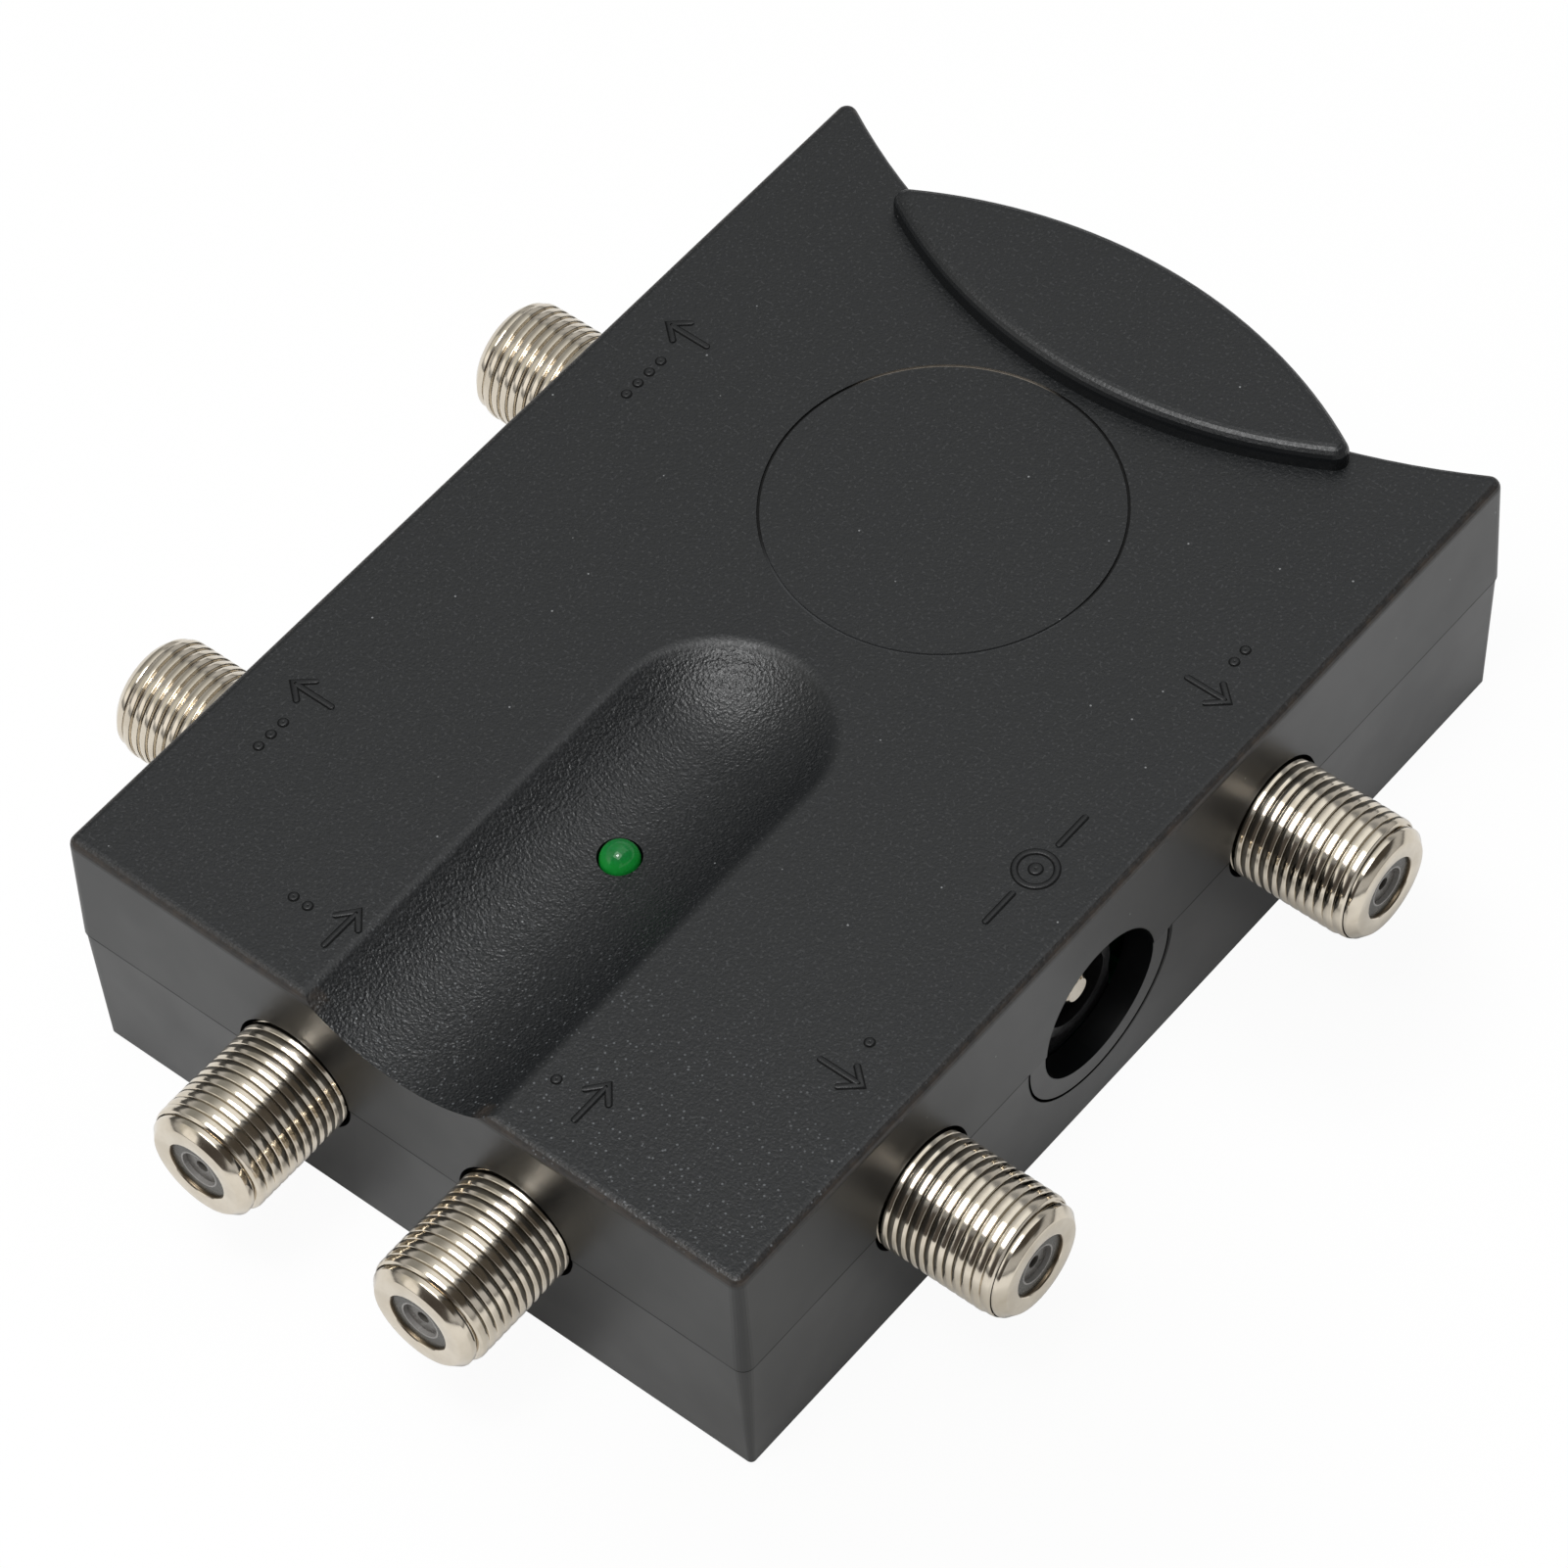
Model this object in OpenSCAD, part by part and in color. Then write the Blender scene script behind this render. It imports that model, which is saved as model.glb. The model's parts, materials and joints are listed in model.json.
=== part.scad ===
/* [Housing] */
// Width of the housing across its two straight sides
body_w = 61; // [57:0.5:66]
// Depth of the housing from its front face to the tips of its two rear horns
body_l = 87; // [86:0.5:96]
// Height of the housing, without the raised pad
body_h = 23.6; // [23.6:0.2:28]
// Height of the seam between the two shells, and of the axes of the six ports
seam_z = 12.8; // [12.8:0.1:13.2]
// Radius of the hollow rear edge
rear_arc_r = 59; // [57:1:75]
// Radius of the four upright corners
corner_r = 1.0; // [1.0:0.05:1.4]
// Radius of the rounded top edge
top_edge_r = 0.75; // [0.4:0.05:0.8]
// Draft of the upper shell, from the seam to the top
upper_draft = 0.15; // [0:0.05:0.15]
// Draft of the lower shell, from the seam to the base
lower_draft = 0.5; // [0.2:0.05:0.5]
// Bevel round the base
base_edge = 0.3; // [0.1:0.05:0.35]
// How far the lower shell steps back at the seam
seam_step = 0.1; // [0.05:0.01:0.12]
// Thickness of the walls
wall = 2.0; // [1.8:0.1:2.2]

/* [Finger channel] */
// Width of the channel where it meets the top
channel_w = 16.6; // [15:0.2:18]
// Depth of the channel along its middle
channel_depth = 2.8; // [2:0.1:3]
// Distance from the front face to the far end of the channel
channel_len = 43.3; // [41:0.1:46]
// Radius of the channel's rounded upper edge
channel_edge_r = 1.4; // [0.6:0.1:1.6]

/* [Raised pad] */
// Length of the leaf-shaped pad from tip to tip
pad_len = 41.2; // [39:0.2:43]
// Width of the pad across its middle
pad_w = 12.6; // [12:0.1:13]
// Height of the pad over the top of the housing
pad_h = 1.9; // [1.6:0.1:2.4]
// Distance from the line between the pad's tips to the housing's rear tips
pad_back = 6.1; // [5:0.1:6.5]
// Radius of the pad's rounded upper edge
pad_edge_r = 1.0; // [0.6:0.05:1.0]
// How far the pad stands out over the bulge of the rear wall
pad_lip = 0.8; // [0.5:0.1:1]

/* [Ring groove] */
// Radius of the circular groove in the top
ring_r = 13.3; // [12:0.1:14]
// Distance from the middle of the circle to the housing's rear tips
ring_back = 26.6; // [26:0.1:27.5]
// Width of the groove
ring_groove_w = 0.22; // [0.15:0.01:0.4]
// Depth of the groove
ring_groove_depth = 0.2; // [0.1:0.05:0.4]

/* [Ports] */
// Outer radius of the ports' thread
port_r = 4.76; // [4.7:0.01:4.8]
// How far the ports stand out from the housing
port_len = 10.3; // [9:0.1:12]
// Distance between the two front ports
front_pitch = 20.2; // [20:0.2:21]
// Distance from the front face to the first side port
side_port_y = 19.2; // [18.8:0.1:19.6]
// Distance from the second side port to the housing's rear tips
side_port_back = 27.8; // [27.2:0.1:28.2]
// Radius of the bore in the front of a port
port_bore_r = 2.45; // [2.3:0.05:2.6]
// Gap between a port and its hole in the housing
port_gap = 0.29; // [0.2:0.01:0.4]

/* [Power socket] */
// Radius of the round window for the power plug
window_r = 6.15; // [5.9:0.05:6.2]
// Height of the window's middle and of the socket's axis
socket_z = 12.2; // [12.1:0.1:12.4]
// Radius of the tongue of the upper shell round the window
tongue_r = 7.85; // [7.75:0.05:8]
// Gap of the curved seam round the tongue
tongue_gap = 0.16; // [0.1:0.01:0.2]
// Radius of the socket's bore
socket_bore_r = 3.15; // [3:0.05:3.2]
// Radius of the socket's middle pin
socket_pin_r = 1.25; // [1:0.05:1.25]

/* [Indicator lamp] */
// Radius of the lamp's lens
lamp_r = 1.5; // [1.4:0.05:1.5]
// Distance from the front face to the lamp
lamp_y = 24.0; // [23.5:0.1:24.5]
// How far the lens rises over the floor of the channel
lamp_rise = 1.2; // [0.8:0.1:1.4]

/* [Board] */
// Height of the board's underside
board_z = 4.3; // [4.2:0.1:4.4]
// Thickness of the board
board_t = 1.6; // [1.4:0.1:1.6]

/* [Hidden] */
$fn = 64;

// How far a cut reaches past what it cuts, and how far a post, rib or lead sinks into its carrier
over = 1;
sink = 0.5;

// Gap between pieces that are pressed together
fit_gap = 0.01;

// Steps of the corners, the tips, the long arcs and the rounded upper edges
corner_steps = 6;
tip_steps = 8;
arc_steps = 32;
edge_steps = 5;

// Middle of the horns' corners and of the hollow rear edge, which touch each other
horn_y = body_l - corner_r;
arc_y = horn_y + sqrt(pow(rear_arc_r + corner_r, 2) - pow(body_w / 2 - corner_r, 2));

// Scoop that makes the channel: its radius, the height of its axis and the start of its round end
scoop_r = (pow(channel_w / 2, 2) + pow(channel_depth, 2)) / (2 * channel_depth);
scoop_z = body_h + scoop_r - channel_depth;
scoop_end = channel_len - channel_w / 2;
channel_floor = body_h - channel_depth;
channel_roof_t = 1.8;

// Rounded upper edge of the channel: middle of its arc across the channel and height of the middle
lip_arc_z = body_h - channel_edge_r;
lip_arc_x = sqrt(pow(scoop_r + channel_edge_r, 2) - pow(scoop_z - lip_arc_z, 2));
lip_foot = channel_edge_r / (scoop_r + channel_edge_r);
lip_foot_x = lip_arc_x * (1 - lip_foot);
lip_foot_z = lip_arc_z + (scoop_z - lip_arc_z) * lip_foot;

// Pad and circle: their middles, the radius of the pad's tips and of its two arcs, height of its lip
pad_y = body_l - pad_back;
ring_y = body_l - ring_back;
pad_tip_r = 1.1;
pad_arc_r = pad_arc(pad_len / 2 - pad_tip_r, pad_w / 2, pad_tip_r);
pad_lip_h = 0.9;

// Outside of the whole object along the depth, used to centre it
rear_reach = max(body_l, pad_y + pad_w / 2);
shift_y = -(rear_reach - port_len) / 2;

// Inside of the housing
inner_inset = wall + lower_draft + seam_step;
inner_r = 0.8;
floor_t = wall;
roof_t = wall;
inner_x = body_w / 2 - inner_inset;
rear_wall = arc_y - rear_arc_r - inner_inset;

// Lip of the lower shell inside the seam
lip_in = 1.35;
lip_h = 1.4;
lip_gap = 0.1;

// Way between the space in the housing and the one in the bulge, and its start before the rear wall
bay_w = 22;
bay_start = 3;

// Ribs on the floor
rib_t = 1.0;
rib_h = 0.7;
RIBS = [24, 48, 66];

// Board, and how far leads reach below it
board_top = board_z + board_t;
board_x = inner_x - 0.5;
board_front = inner_inset + 0.4;
board_rear = rear_wall - 1;
board_notch = 8.0;
lead_below = 1.3;
lead_foot = board_z - lead_below;
hole_gap = 0.05;

// Screws that close the housing from below, their posts and their bosses
screw_x = inner_x - 4;
screw_front_y = 6.7;
screw_rear_y = body_l - 9.6;
screw_r = 1.25;
screw_gap = 0.2;
screw_head_r = 2.3;
screw_head_h = 1.6;
screw_head_gap = 0.3;
screw_seat_z = 2.7;
screw_len = 12;
post_r = 3.5;
post_top = 8.0;
boss_r = 2.9;
SCREWS = [
    [-screw_x, screw_front_y], [screw_x, screw_front_y],
    [-screw_x, screw_rear_y], [screw_x, screw_rear_y]
];

// Ports: middle of each hole on the outside of the housing, and turn of its axis from the front
IN1 = 0;
IN2 = 1;
OUT1 = 2;
OUT2 = 3;
OUT3 = 4;
OUT4 = 5;
rear_port_y = body_l - side_port_back;
PORTS = [
    [front_pitch / 2, 0, 0], [-front_pitch / 2, 0, 0],
    [body_w / 2, side_port_y, 90], [body_w / 2, rear_port_y, 90],
    [-body_w / 2, side_port_y, -90], [-body_w / 2, rear_port_y, -90]
];
port_hole_past = 0.3;

// Barrel: start of the thread, shank in the wall, spigot in the block, and bevelled nose
thread_from = 0.1;
shank_r = 4.6;
spigot_r = 3.9;
nose_r = 4.45;
nose_l = 1.1;
nose_bevel = 0.6;
bore_bevel = 0.15;

// Block behind the barrel, with its four legs beside the axis and behind the wall
block_w = 11.2;
block_l = 6.2;
block_rise = 5.4;
block_gap = 0.2;
block_bevel = 0.8;
block_face = inner_inset + block_gap;
block_end = block_face + block_l;
leg_r = 0.55;
leg_x = 4.4;
leg_in = 1.1;
LEGS = [
    [-leg_x, block_face + leg_in], [leg_x, block_face + leg_in],
    [-leg_x, block_end - leg_in], [leg_x, block_end - leg_in]
];

// Insulator with its countersink and the mouth of the wire hole
insulator_face = port_len - 0.3;
funnel_r = 1.5;
funnel_depth = 0.35;
mouth_l = 0.4;

// Contact: outside, wire hole, and the tail that bends down through the board
contact_r = 0.85;
contact_hole_r = 0.5;
contact_depth = 6;
contact_face = insulator_face - funnel_depth - mouth_l;
tail_r = 0.4;
tail_bend_r = 1.0;
tail_reach = 1.4;

// How far the notch for the tongue lies lower than the tongue
tongue_drop = 0.1;

// Power socket: square flange with a round barrel before and behind it, foot below, bore, pin, spring slot
socket_y = (side_port_y + rear_port_y) / 2;
socket_w = 9.0;
socket_l = 14.0;
socket_flange_l = 3.5;
socket_h = 11.0;
socket_face = inner_x - 0.2;
socket_bore_depth = 9.5;
socket_barrel_r = 4.1;
socket_nose_l = 0.55;
socket_nose_bevel = 0.15;
socket_foot_w = 7.6;
socket_step = 1;
pin_front = socket_nose_l + 0.2;
pin_tip = 0.3;
pin_root_r = 0.8;
tab_w = 2.0;
tab_t = 0.4;
spring_w = 2.0;
spring_y = 8.0;
spring_gap = 0.2;
spring_slot_y = 2;

// Screws that hold the board
board_screw_r = 1.0;
board_screw_gap = 0.1;
board_screw_head_r = 1.9;
board_screw_head_h = 1.3;
board_screw_len = 4.4;
standoff_r = 2.6;
board_front_x = board_x - 6.9;
board_front_y = (side_port_y + block_w / 2 + socket_y - socket_w / 2) / 2;
board_rear_x = board_x - board_notch - 3.4;
board_rear_y = board_rear - 3.6;
BOARD_SCREWS = [
    [-board_front_x, board_front_y], [board_front_x, board_front_y],
    [-board_rear_x, board_rear_y], [board_rear_x, board_rear_y]
];

// Lamp
lamp_top = channel_floor + lamp_rise;
lamp_body_h = 5.3;
lamp_flange_r = 1.75;
lamp_flange_h = 1.0;
lamp_lead_w = 0.5;
lamp_lead_pitch = 2.54;
lamp_lead_hole_r = 0.4;
lamp_gap = 0.15;
lamp_seat_gap = 0.05;
lamp_collar_r = 3.0;
lamp_collar_l = 2.0;

// Cover over the amplifier
can_y = socket_y + 16.8;
can_w = 17;
can_l = 20;
can_h = 7;
can_t = 0.3;
can_vent_r = 0.8;

// Chips, capacitors, chokes and diode
chip_y = can_y - 4;
chip_w = 3.9;
chip_l = 4.9;
chip_h = 1.45;
chip_pitch = 1.27;
chip_lead_w = 0.42;
regulator_x = 9.2;
regulator_y = socket_y - 6.6;
regulator_w = 3.5;
regulator_l = 6.5;
regulator_h = 1.6;
regulator_pitch = 2.3;
regulator_lead_w = 0.7;
regulator_tab_w = 3.0;
input_cap_r = 3.15;
input_cap_h = 8.5;
output_cap_r = 2.5;
output_cap_h = 7.2;
cap_lead_pitch = 2.5;
cap_lead_r = 0.3;
cap_gap = 1.35;
cap_x = socket_face - socket_l - tab_t - cap_gap - input_cap_r;
cap_y = socket_y + 1.8;
CAPACITORS = [[cap_x, cap_y], [-cap_x, cap_y]];
CHOKES = [[-front_pitch / 2, 17], [front_pitch / 2, 17]];
diode_x = 14.6;
diode_y = 26.6;

// Splitter cores with two holes each; middle and turn of each core
core_w = 6.2;
core_l = 4.2;
core_h = 3.6;
core_pitch = 2.8;
core_hole_r = 0.75;
core_gap = 0.45;
wire_r = 0.3;
wire_out = 0.3;
core_x = cap_x + input_cap_r + core_l / 2 + core_gap;
CORES = [[0, can_y + 4, 0], [-core_x, socket_y + 5.8, 90], [core_x, socket_y + 10.8, -90]];

// Chip resistors and capacitors; middle and turn of each
part_l = 2.0;
part_w = 1.2;
part_h = 0.65;
rear_row = board_rear - 6.1;
CHIP_PARTS = [
    [-15.5, 13, 90], [15.5, 13, 90], [-5.2, 14, 0], [5.2, 14, 0], [-5.2, 20.5, 0], [5.2, 20.5, 0],
    [-10.1, 22.5, 90], [10.1, 22.5, 90], [-5, 28, 0], [-9, 30, 90], [-13, 34, 0], [-17.5, 36.5, 90],
    [-4, 34, 0], [0, 39, 90], [-12, 53, 0], [-14, 57, 90], [12, 57, 90], [14.5, 61, 0],
    [-12, rear_row - 3.5, 0], [12, rear_row - 3.5, 0], [-4, rear_row, 90], [4, rear_row, 90]
];

// Radius of two equal arcs that touch round tips: half length to the tips' middles, half width, tip radius
function pad_arc(a, b, r) = (a * a + b * b - r * r) / (2 * (b - r));

// Points of an arc about a middle
function arc(cx, cy, r, a0, a1, n) = [
    for (i = [0:n])
        let (a = a0 + (a1 - a0) * i / n)
        [cx + r * cos(a), cy + r * sin(a)]
];

// Points of an arc without its two ends
function open_arc(cx, cy, r, a0, a1, n) = [
    for (i = [1:n - 1])
        let (a = a0 + (a1 - a0) * i / n)
        [cx + r * cos(a), cy + r * sin(a)]
];

// Outline of the housing set in by d, with corners of radius r
function plan(d, r) =
    let (
        cx = body_w / 2 - d - r,
        hy = arc_y - sqrt(pow(rear_arc_r + d + r, 2) - cx * cx),
        turn = atan2(arc_y - hy, -cx),
        back = atan2(hy - arc_y, cx)
    )
    concat(
        arc(-cx, d + r, r, 180, 270, corner_steps),
        arc(cx, d + r, r, 270, 360, corner_steps),
        arc(cx, hy, r, 0, turn, tip_steps),
        open_arc(0, arc_y, rear_arc_r + d, back, -180 - back, arc_steps),
        arc(-cx, hy, r, 180 - turn, 180, tip_steps)
    );

// Outline of the leaf-shaped pad set in by d, with tips of radius r
function leaf(d, r) =
    let (
        big = pad_arc_r - d,
        up = big - pad_w / 2 + d,
        tip = sqrt(pow(big - r, 2) - up * up),
        turn = atan2(up, tip)
    )
    concat(
        arc(tip, pad_y, r, -turn, turn, tip_steps),
        open_arc(0, pad_y - up, big, turn, 180 - turn, arc_steps),
        arc(-tip, pad_y, r, 180 - turn, 180 + turn, tip_steps),
        open_arc(0, pad_y + up, big, 180 + turn, 360 - turn, arc_steps)
    );

// Steps of a rounded upper edge of radius r: set-in and height of each
function edge_in(r) = [for (i = [0:edge_steps]) r * (1 - cos(90 * i / edge_steps))];
function edge_up(r) = [for (i = [0:edge_steps]) r * sin(90 * i / edge_steps)];

// Closed solid through outlines of equal length; c is a point that sees each whole outline
module loft(levels, zs, c) {
    n = len(levels[0]);
    m = len(levels);
    points = concat(
        [for (k = [0:m - 1]) for (p = levels[k]) [p[0], p[1], zs[k]]],
        [[c[0], c[1], zs[0]], [c[0], c[1], zs[m - 1]]]
    );
    sides = [
        for (k = [0:m - 2]) for (i = [0:n - 1])
            [k * n + i, (k + 1) * n + i, (k + 1) * n + (i + 1) % n, k * n + (i + 1) % n]
    ];
    base = [for (i = [0:n - 1]) [m * n, i, (i + 1) % n]];
    top = [for (i = [0:n - 1]) [m * n + 1, (m - 1) * n + (i + 1) % n, (m - 1) * n + i]];
    polyhedron(points = points, faces = concat(sides, base, top));
}

// Outside of the upper shell's box
module upper_solid() {
    loft(
        concat(
            [plan(0, corner_r)],
            [for (d = edge_in(top_edge_r)) plan(upper_draft + d, corner_r - upper_draft - d)]
        ),
        concat([seam_z], [for (u = edge_up(top_edge_r)) body_h - top_edge_r + u]),
        [0, body_l / 2]
    );
}

// Outside of the lower shell's box
module lower_solid() {
    foot = seam_step + lower_draft;
    loft(
        [
            plan(foot + base_edge, corner_r - foot - base_edge),
            plan(foot, corner_r - foot),
            plan(seam_step, corner_r - seam_step)
        ],
        [0, base_edge, seam_z],
        [0, body_l / 2]
    );
}

// Pad on the upper shell, with the bulge of the rear wall below it
module pad_solid() {
    lip_z = body_h - top_edge_r - pad_lip_h;
    tip_in = pad_tip_r - pad_lip;
    loft(
        concat(
            [leaf(pad_lip, tip_in), leaf(pad_lip, tip_in), leaf(0, pad_tip_r)],
            [for (d = edge_in(pad_edge_r)) leaf(d, pad_tip_r - d)]
        ),
        concat(
            [seam_z, lip_z, lip_z],
            [for (u = edge_up(pad_edge_r)) body_h + pad_h - pad_edge_r + u]
        ),
        [0, pad_y]
    );
}

// Bulge of the rear wall of the lower shell
module lower_bulge() {
    foot = pad_lip + seam_step + lower_draft;
    tip_in = pad_tip_r - pad_lip;
    loft(
        [leaf(foot + base_edge, tip_in), leaf(foot, tip_in), leaf(pad_lip + seam_step, tip_in)],
        [0, base_edge, seam_z],
        [0, pad_y]
    );
}

// Plan of the space inside the housing, bulge included
module inner_plan() {
    polygon(plan(inner_inset, inner_r));
    polygon(leaf(pad_lip + inner_inset, inner_r));
    translate([-bay_w / 2, rear_wall - bay_start])
        square([bay_w, pad_y - rear_wall + bay_start]);
}

// Scoop of the channel, grown by g: a round bar with a ball end, lying along the depth
module scoop(g) {
    r = scoop_r + g;
    translate([0, scoop_end, scoop_z])
        rotate([90, 0, 0])
            rotate_extrude() {
                square([r, scoop_end + 2 * over]);
                intersection() {
                    circle(r);
                    translate([0, -r])
                        square(r);
                }
            }
}

// Half of what the rounded edge takes away beside the scoop, across the channel
module lip_half() {
    difference() {
        polygon([
            [0, lip_foot_z], [lip_foot_x, lip_foot_z], [lip_arc_x, lip_arc_z],
            [lip_arc_x, body_h + over], [0, body_h + over]
        ]);
        translate([lip_arc_x, lip_arc_z])
            circle(channel_edge_r);
    }
}

// Rounded upper edge of the channel, along both sides and round its end
module channel_lip() {
    translate([0, scoop_end, 0]) {
        rotate_extrude()
            lip_half();
        for (side = [0, 1])
            mirror([side, 0, 0])
                rotate([90, 0, 0])
                    linear_extrude(scoop_end + over)
                        lip_half();
    }
}

// Round bar along the width on the power socket's axis, from the inside of the wall outwards
module window_bar(r, from) {
    translate([from, socket_y, socket_z])
        rotate([0, 90, 0])
            cylinder(r = r, h = body_w / 2 - from + over);
}

// Tongue of the upper shell that reaches down round the window
module tongue() {
    intersection() {
        union() {
            lower_solid();
            upper_solid();
        }
        window_bar(tongue_r, inner_x);
    }
}

// Moves the assembly so that its box is centred on the origin
module placed() {
    translate([0, shift_y, 0])
        children();
}

// Puts children at port i, in the frame where the port's axis points to the front
module at_port(i) {
    translate([PORTS[i][0], PORTS[i][1], seam_z])
        rotate([0, 0, PORTS[i][2]])
            children();
}

module port_holes() {
    depth = inner_inset + port_hole_past;
    for (i = [IN1:OUT4])
        at_port(i)
            translate([0, depth, 0])
                rotate([90, 0, 0])
                    cylinder(r = port_r + port_gap, h = depth + over);
}

// Puts children at the power socket's face, its axis pointing to the front
module at_socket() {
    translate([socket_face, socket_y, socket_z])
        rotate([0, 0, 90])
            children();
}

// Circular groove in the top
module ring_groove() {
    translate([0, ring_y, body_h - ring_groove_depth])
        difference() {
            cylinder(r = ring_r + ring_groove_w / 2, h = over);
            translate([0, 0, -over])
                cylinder(r = ring_r - ring_groove_w / 2, h = 3 * over);
        }
}

// Space inside the upper shell: under the roof and the channel, and the rebate for the lower shell's lip
module upper_hollow() {
    difference() {
        translate([0, 0, seam_z - over])
            linear_extrude(body_h - roof_t - seam_z + over)
                inner_plan();
        scoop(channel_roof_t);
    }
    translate([0, 0, seam_z - over])
        linear_extrude(lip_h + lip_gap + over)
            polygon(plan(lip_in - lip_gap, inner_r));
}

module upper_shell() {
    color("dimgray")
        placed()
            difference() {
                union() {
                    difference() {
                        union() {
                            upper_solid();
                            pad_solid();
                        }
                        upper_hollow();
                    }
                    tongue();
                    for (p = SCREWS)
                        translate([p[0], p[1], post_top])
                            cylinder(r = boss_r, h = body_h - roof_t - post_top + sink);
                    translate([0, lamp_y, lamp_top - lamp_body_h + lamp_flange_h + lamp_seat_gap])
                        cylinder(r = lamp_collar_r, h = lamp_collar_l);
                }
                scoop(0);
                channel_lip();
                ring_groove();
                port_holes();
                window_bar(window_r, inner_x - over);
                translate([0, lamp_y, 0])
                    cylinder(r = lamp_r + lamp_gap, h = body_h);
                for (p = SCREWS)
                    translate([p[0], p[1], post_top - over])
                        cylinder(r = screw_r, h = screw_seat_z + screw_len - post_top + 2 * over);
            }
}

module lower_shell() {
    color("dimgray")
        placed()
            difference() {
                union() {
                    difference() {
                        union() {
                            lower_solid();
                            lower_bulge();
                            translate([0, 0, seam_z - over])
                                linear_extrude(lip_h + over)
                                    polygon(plan(lip_in, inner_r));
                        }
                        translate([0, 0, floor_t])
                            linear_extrude(body_h)
                                inner_plan();
                    }
                    for (p = SCREWS)
                        translate([p[0], p[1], floor_t - sink])
                            cylinder(r = post_r, h = post_top - floor_t + sink);
                    for (p = BOARD_SCREWS)
                        translate([p[0], p[1], floor_t - sink])
                            cylinder(r = standoff_r, h = board_z - floor_t + sink);
                    for (y = RIBS)
                        translate([-inner_x - sink, y, floor_t - sink])
                            cube([2 * (inner_x + sink), rib_t, rib_h + sink]);
                }
                port_holes();
                translate([0, 0, -tongue_drop])
                    window_bar(tongue_r + tongue_gap, inner_x - over);
                for (p = SCREWS)
                    translate([p[0], p[1], -over]) {
                        cylinder(r = screw_head_r + screw_head_gap, h = screw_seat_z + over);
                        cylinder(r = screw_r + screw_gap, h = post_top + 2 * over);
                    }
                for (p = BOARD_SCREWS)
                    translate([p[0], p[1], board_top - board_screw_len])
                        cylinder(r = board_screw_r, h = board_screw_len);
            }
}

// Screw that points up from its seat: turned head, plain shank, cross recess
module screw(head_r, head_h, shank_r, shank_l) {
    bevel = 0.5;
    slot_l = 1.2 * head_r;
    slot_w = 0.28 * head_r;
    slot_h = 0.55 * head_h;
    difference() {
        rotate_extrude()
            polygon([
                [0, -head_h], [head_r - bevel, -head_h], [head_r, bevel - head_h], [head_r, 0],
                [shank_r, 0], [shank_r, shank_l - bevel], [shank_r - bevel, shank_l], [0, shank_l]
            ]);
        for (a = [0, 90])
            rotate([0, 0, a])
                translate([-slot_l / 2, -slot_w / 2, -head_h - over])
                    cube([slot_l, slot_w, slot_h + over]);
    }
}

module housing_screws() {
    color("silver")
        placed()
            for (p = SCREWS)
                translate([p[0], p[1], screw_seat_z])
                    screw(screw_head_r, screw_head_h, screw_r, screw_len);
}

module board_screws() {
    color("silver")
        placed()
            for (p = BOARD_SCREWS)
                translate([p[0], p[1], board_top])
                    rotate([180, 0, 0])
                        screw(board_screw_head_r, board_screw_head_h, board_screw_r, board_screw_len);
}

// Holes in the board for the legs and the tails of the ports
module port_drillings() {
    for (port = PORTS)
        translate([port[0], port[1]])
            rotate(port[2]) {
                for (p = LEGS)
                    translate(p)
                        circle(leg_r + hole_gap);
                translate([0, block_end + tail_reach])
                    circle(tail_r + hole_gap);
            }
}

// Slots in the board for the power socket's two tabs
module socket_slots() {
    translate([socket_face, socket_y])
        rotate(90)
            for (y = [spring_y, socket_l])
                translate([-tab_w / 2 - hole_gap, y - hole_gap])
                    square([tab_w + 2 * hole_gap, tab_t + 2 * hole_gap]);
}

module circuit_board() {
    color("darkgreen")
        placed()
            translate([0, 0, board_z])
                linear_extrude(board_t)
                    difference() {
                        translate([-board_x, board_front])
                            square([2 * board_x, board_rear - board_front]);
                        for (side = [-1, 1])
                            for (y = [board_front, board_rear])
                                translate([side * board_x, y])
                                    square(2 * board_notch, center = true);
                        for (p = BOARD_SCREWS)
                            translate(p)
                                circle(board_screw_r + board_screw_gap);
                        port_drillings();
                        socket_slots();
                        for (side = [-1, 1])
                            translate([side * lamp_lead_pitch / 2, lamp_y])
                                circle(lamp_lead_hole_r);
                        for (p = CAPACITORS)
                            for (side = [-1, 1])
                                translate([p[0] + side * cap_lead_pitch / 2, p[1]])
                                    circle(cap_lead_r + hole_gap);
                    }
}

// Barrel of a port: spigot in the block, shank in the wall, outside of the thread, bevelled nose
module barrel() {
    color("silver")
        rotate([90, 0, 0])
            rotate_extrude()
                polygon([
                    [port_bore_r, -block_end], [spigot_r, -block_end], [spigot_r, -block_face],
                    [shank_r, -block_face], [shank_r, thread_from], [port_r, thread_from],
                    [port_r, port_len - nose_l], [nose_r, port_len - nose_l],
                    [nose_r, port_len - nose_bevel], [nose_r - nose_bevel, port_len],
                    [port_bore_r + bore_bevel, port_len], [port_bore_r, port_len - bore_bevel]
                ]);
}

// Block that holds a barrel on the board
module block() {
    x = block_w / 2;
    low = board_top - seam_z;
    color("silver")
        difference() {
            union() {
                translate([0, block_end, 0])
                    rotate([90, 0, 0])
                        linear_extrude(block_l)
                            polygon([
                                [-x, low], [x, low], [x, block_rise - block_bevel],
                                [x - block_bevel, block_rise], [block_bevel - x, block_rise],
                                [-x, block_rise - block_bevel]
                            ]);
                for (p = LEGS)
                    translate([p[0], p[1], lead_foot - seam_z])
                        cylinder(r = leg_r, h = board_t + lead_below + sink);
            }
            translate([0, block_end + over, 0])
                rotate([90, 0, 0])
                    cylinder(r = spigot_r + fit_gap, h = block_l + 2 * over);
        }
}

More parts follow.
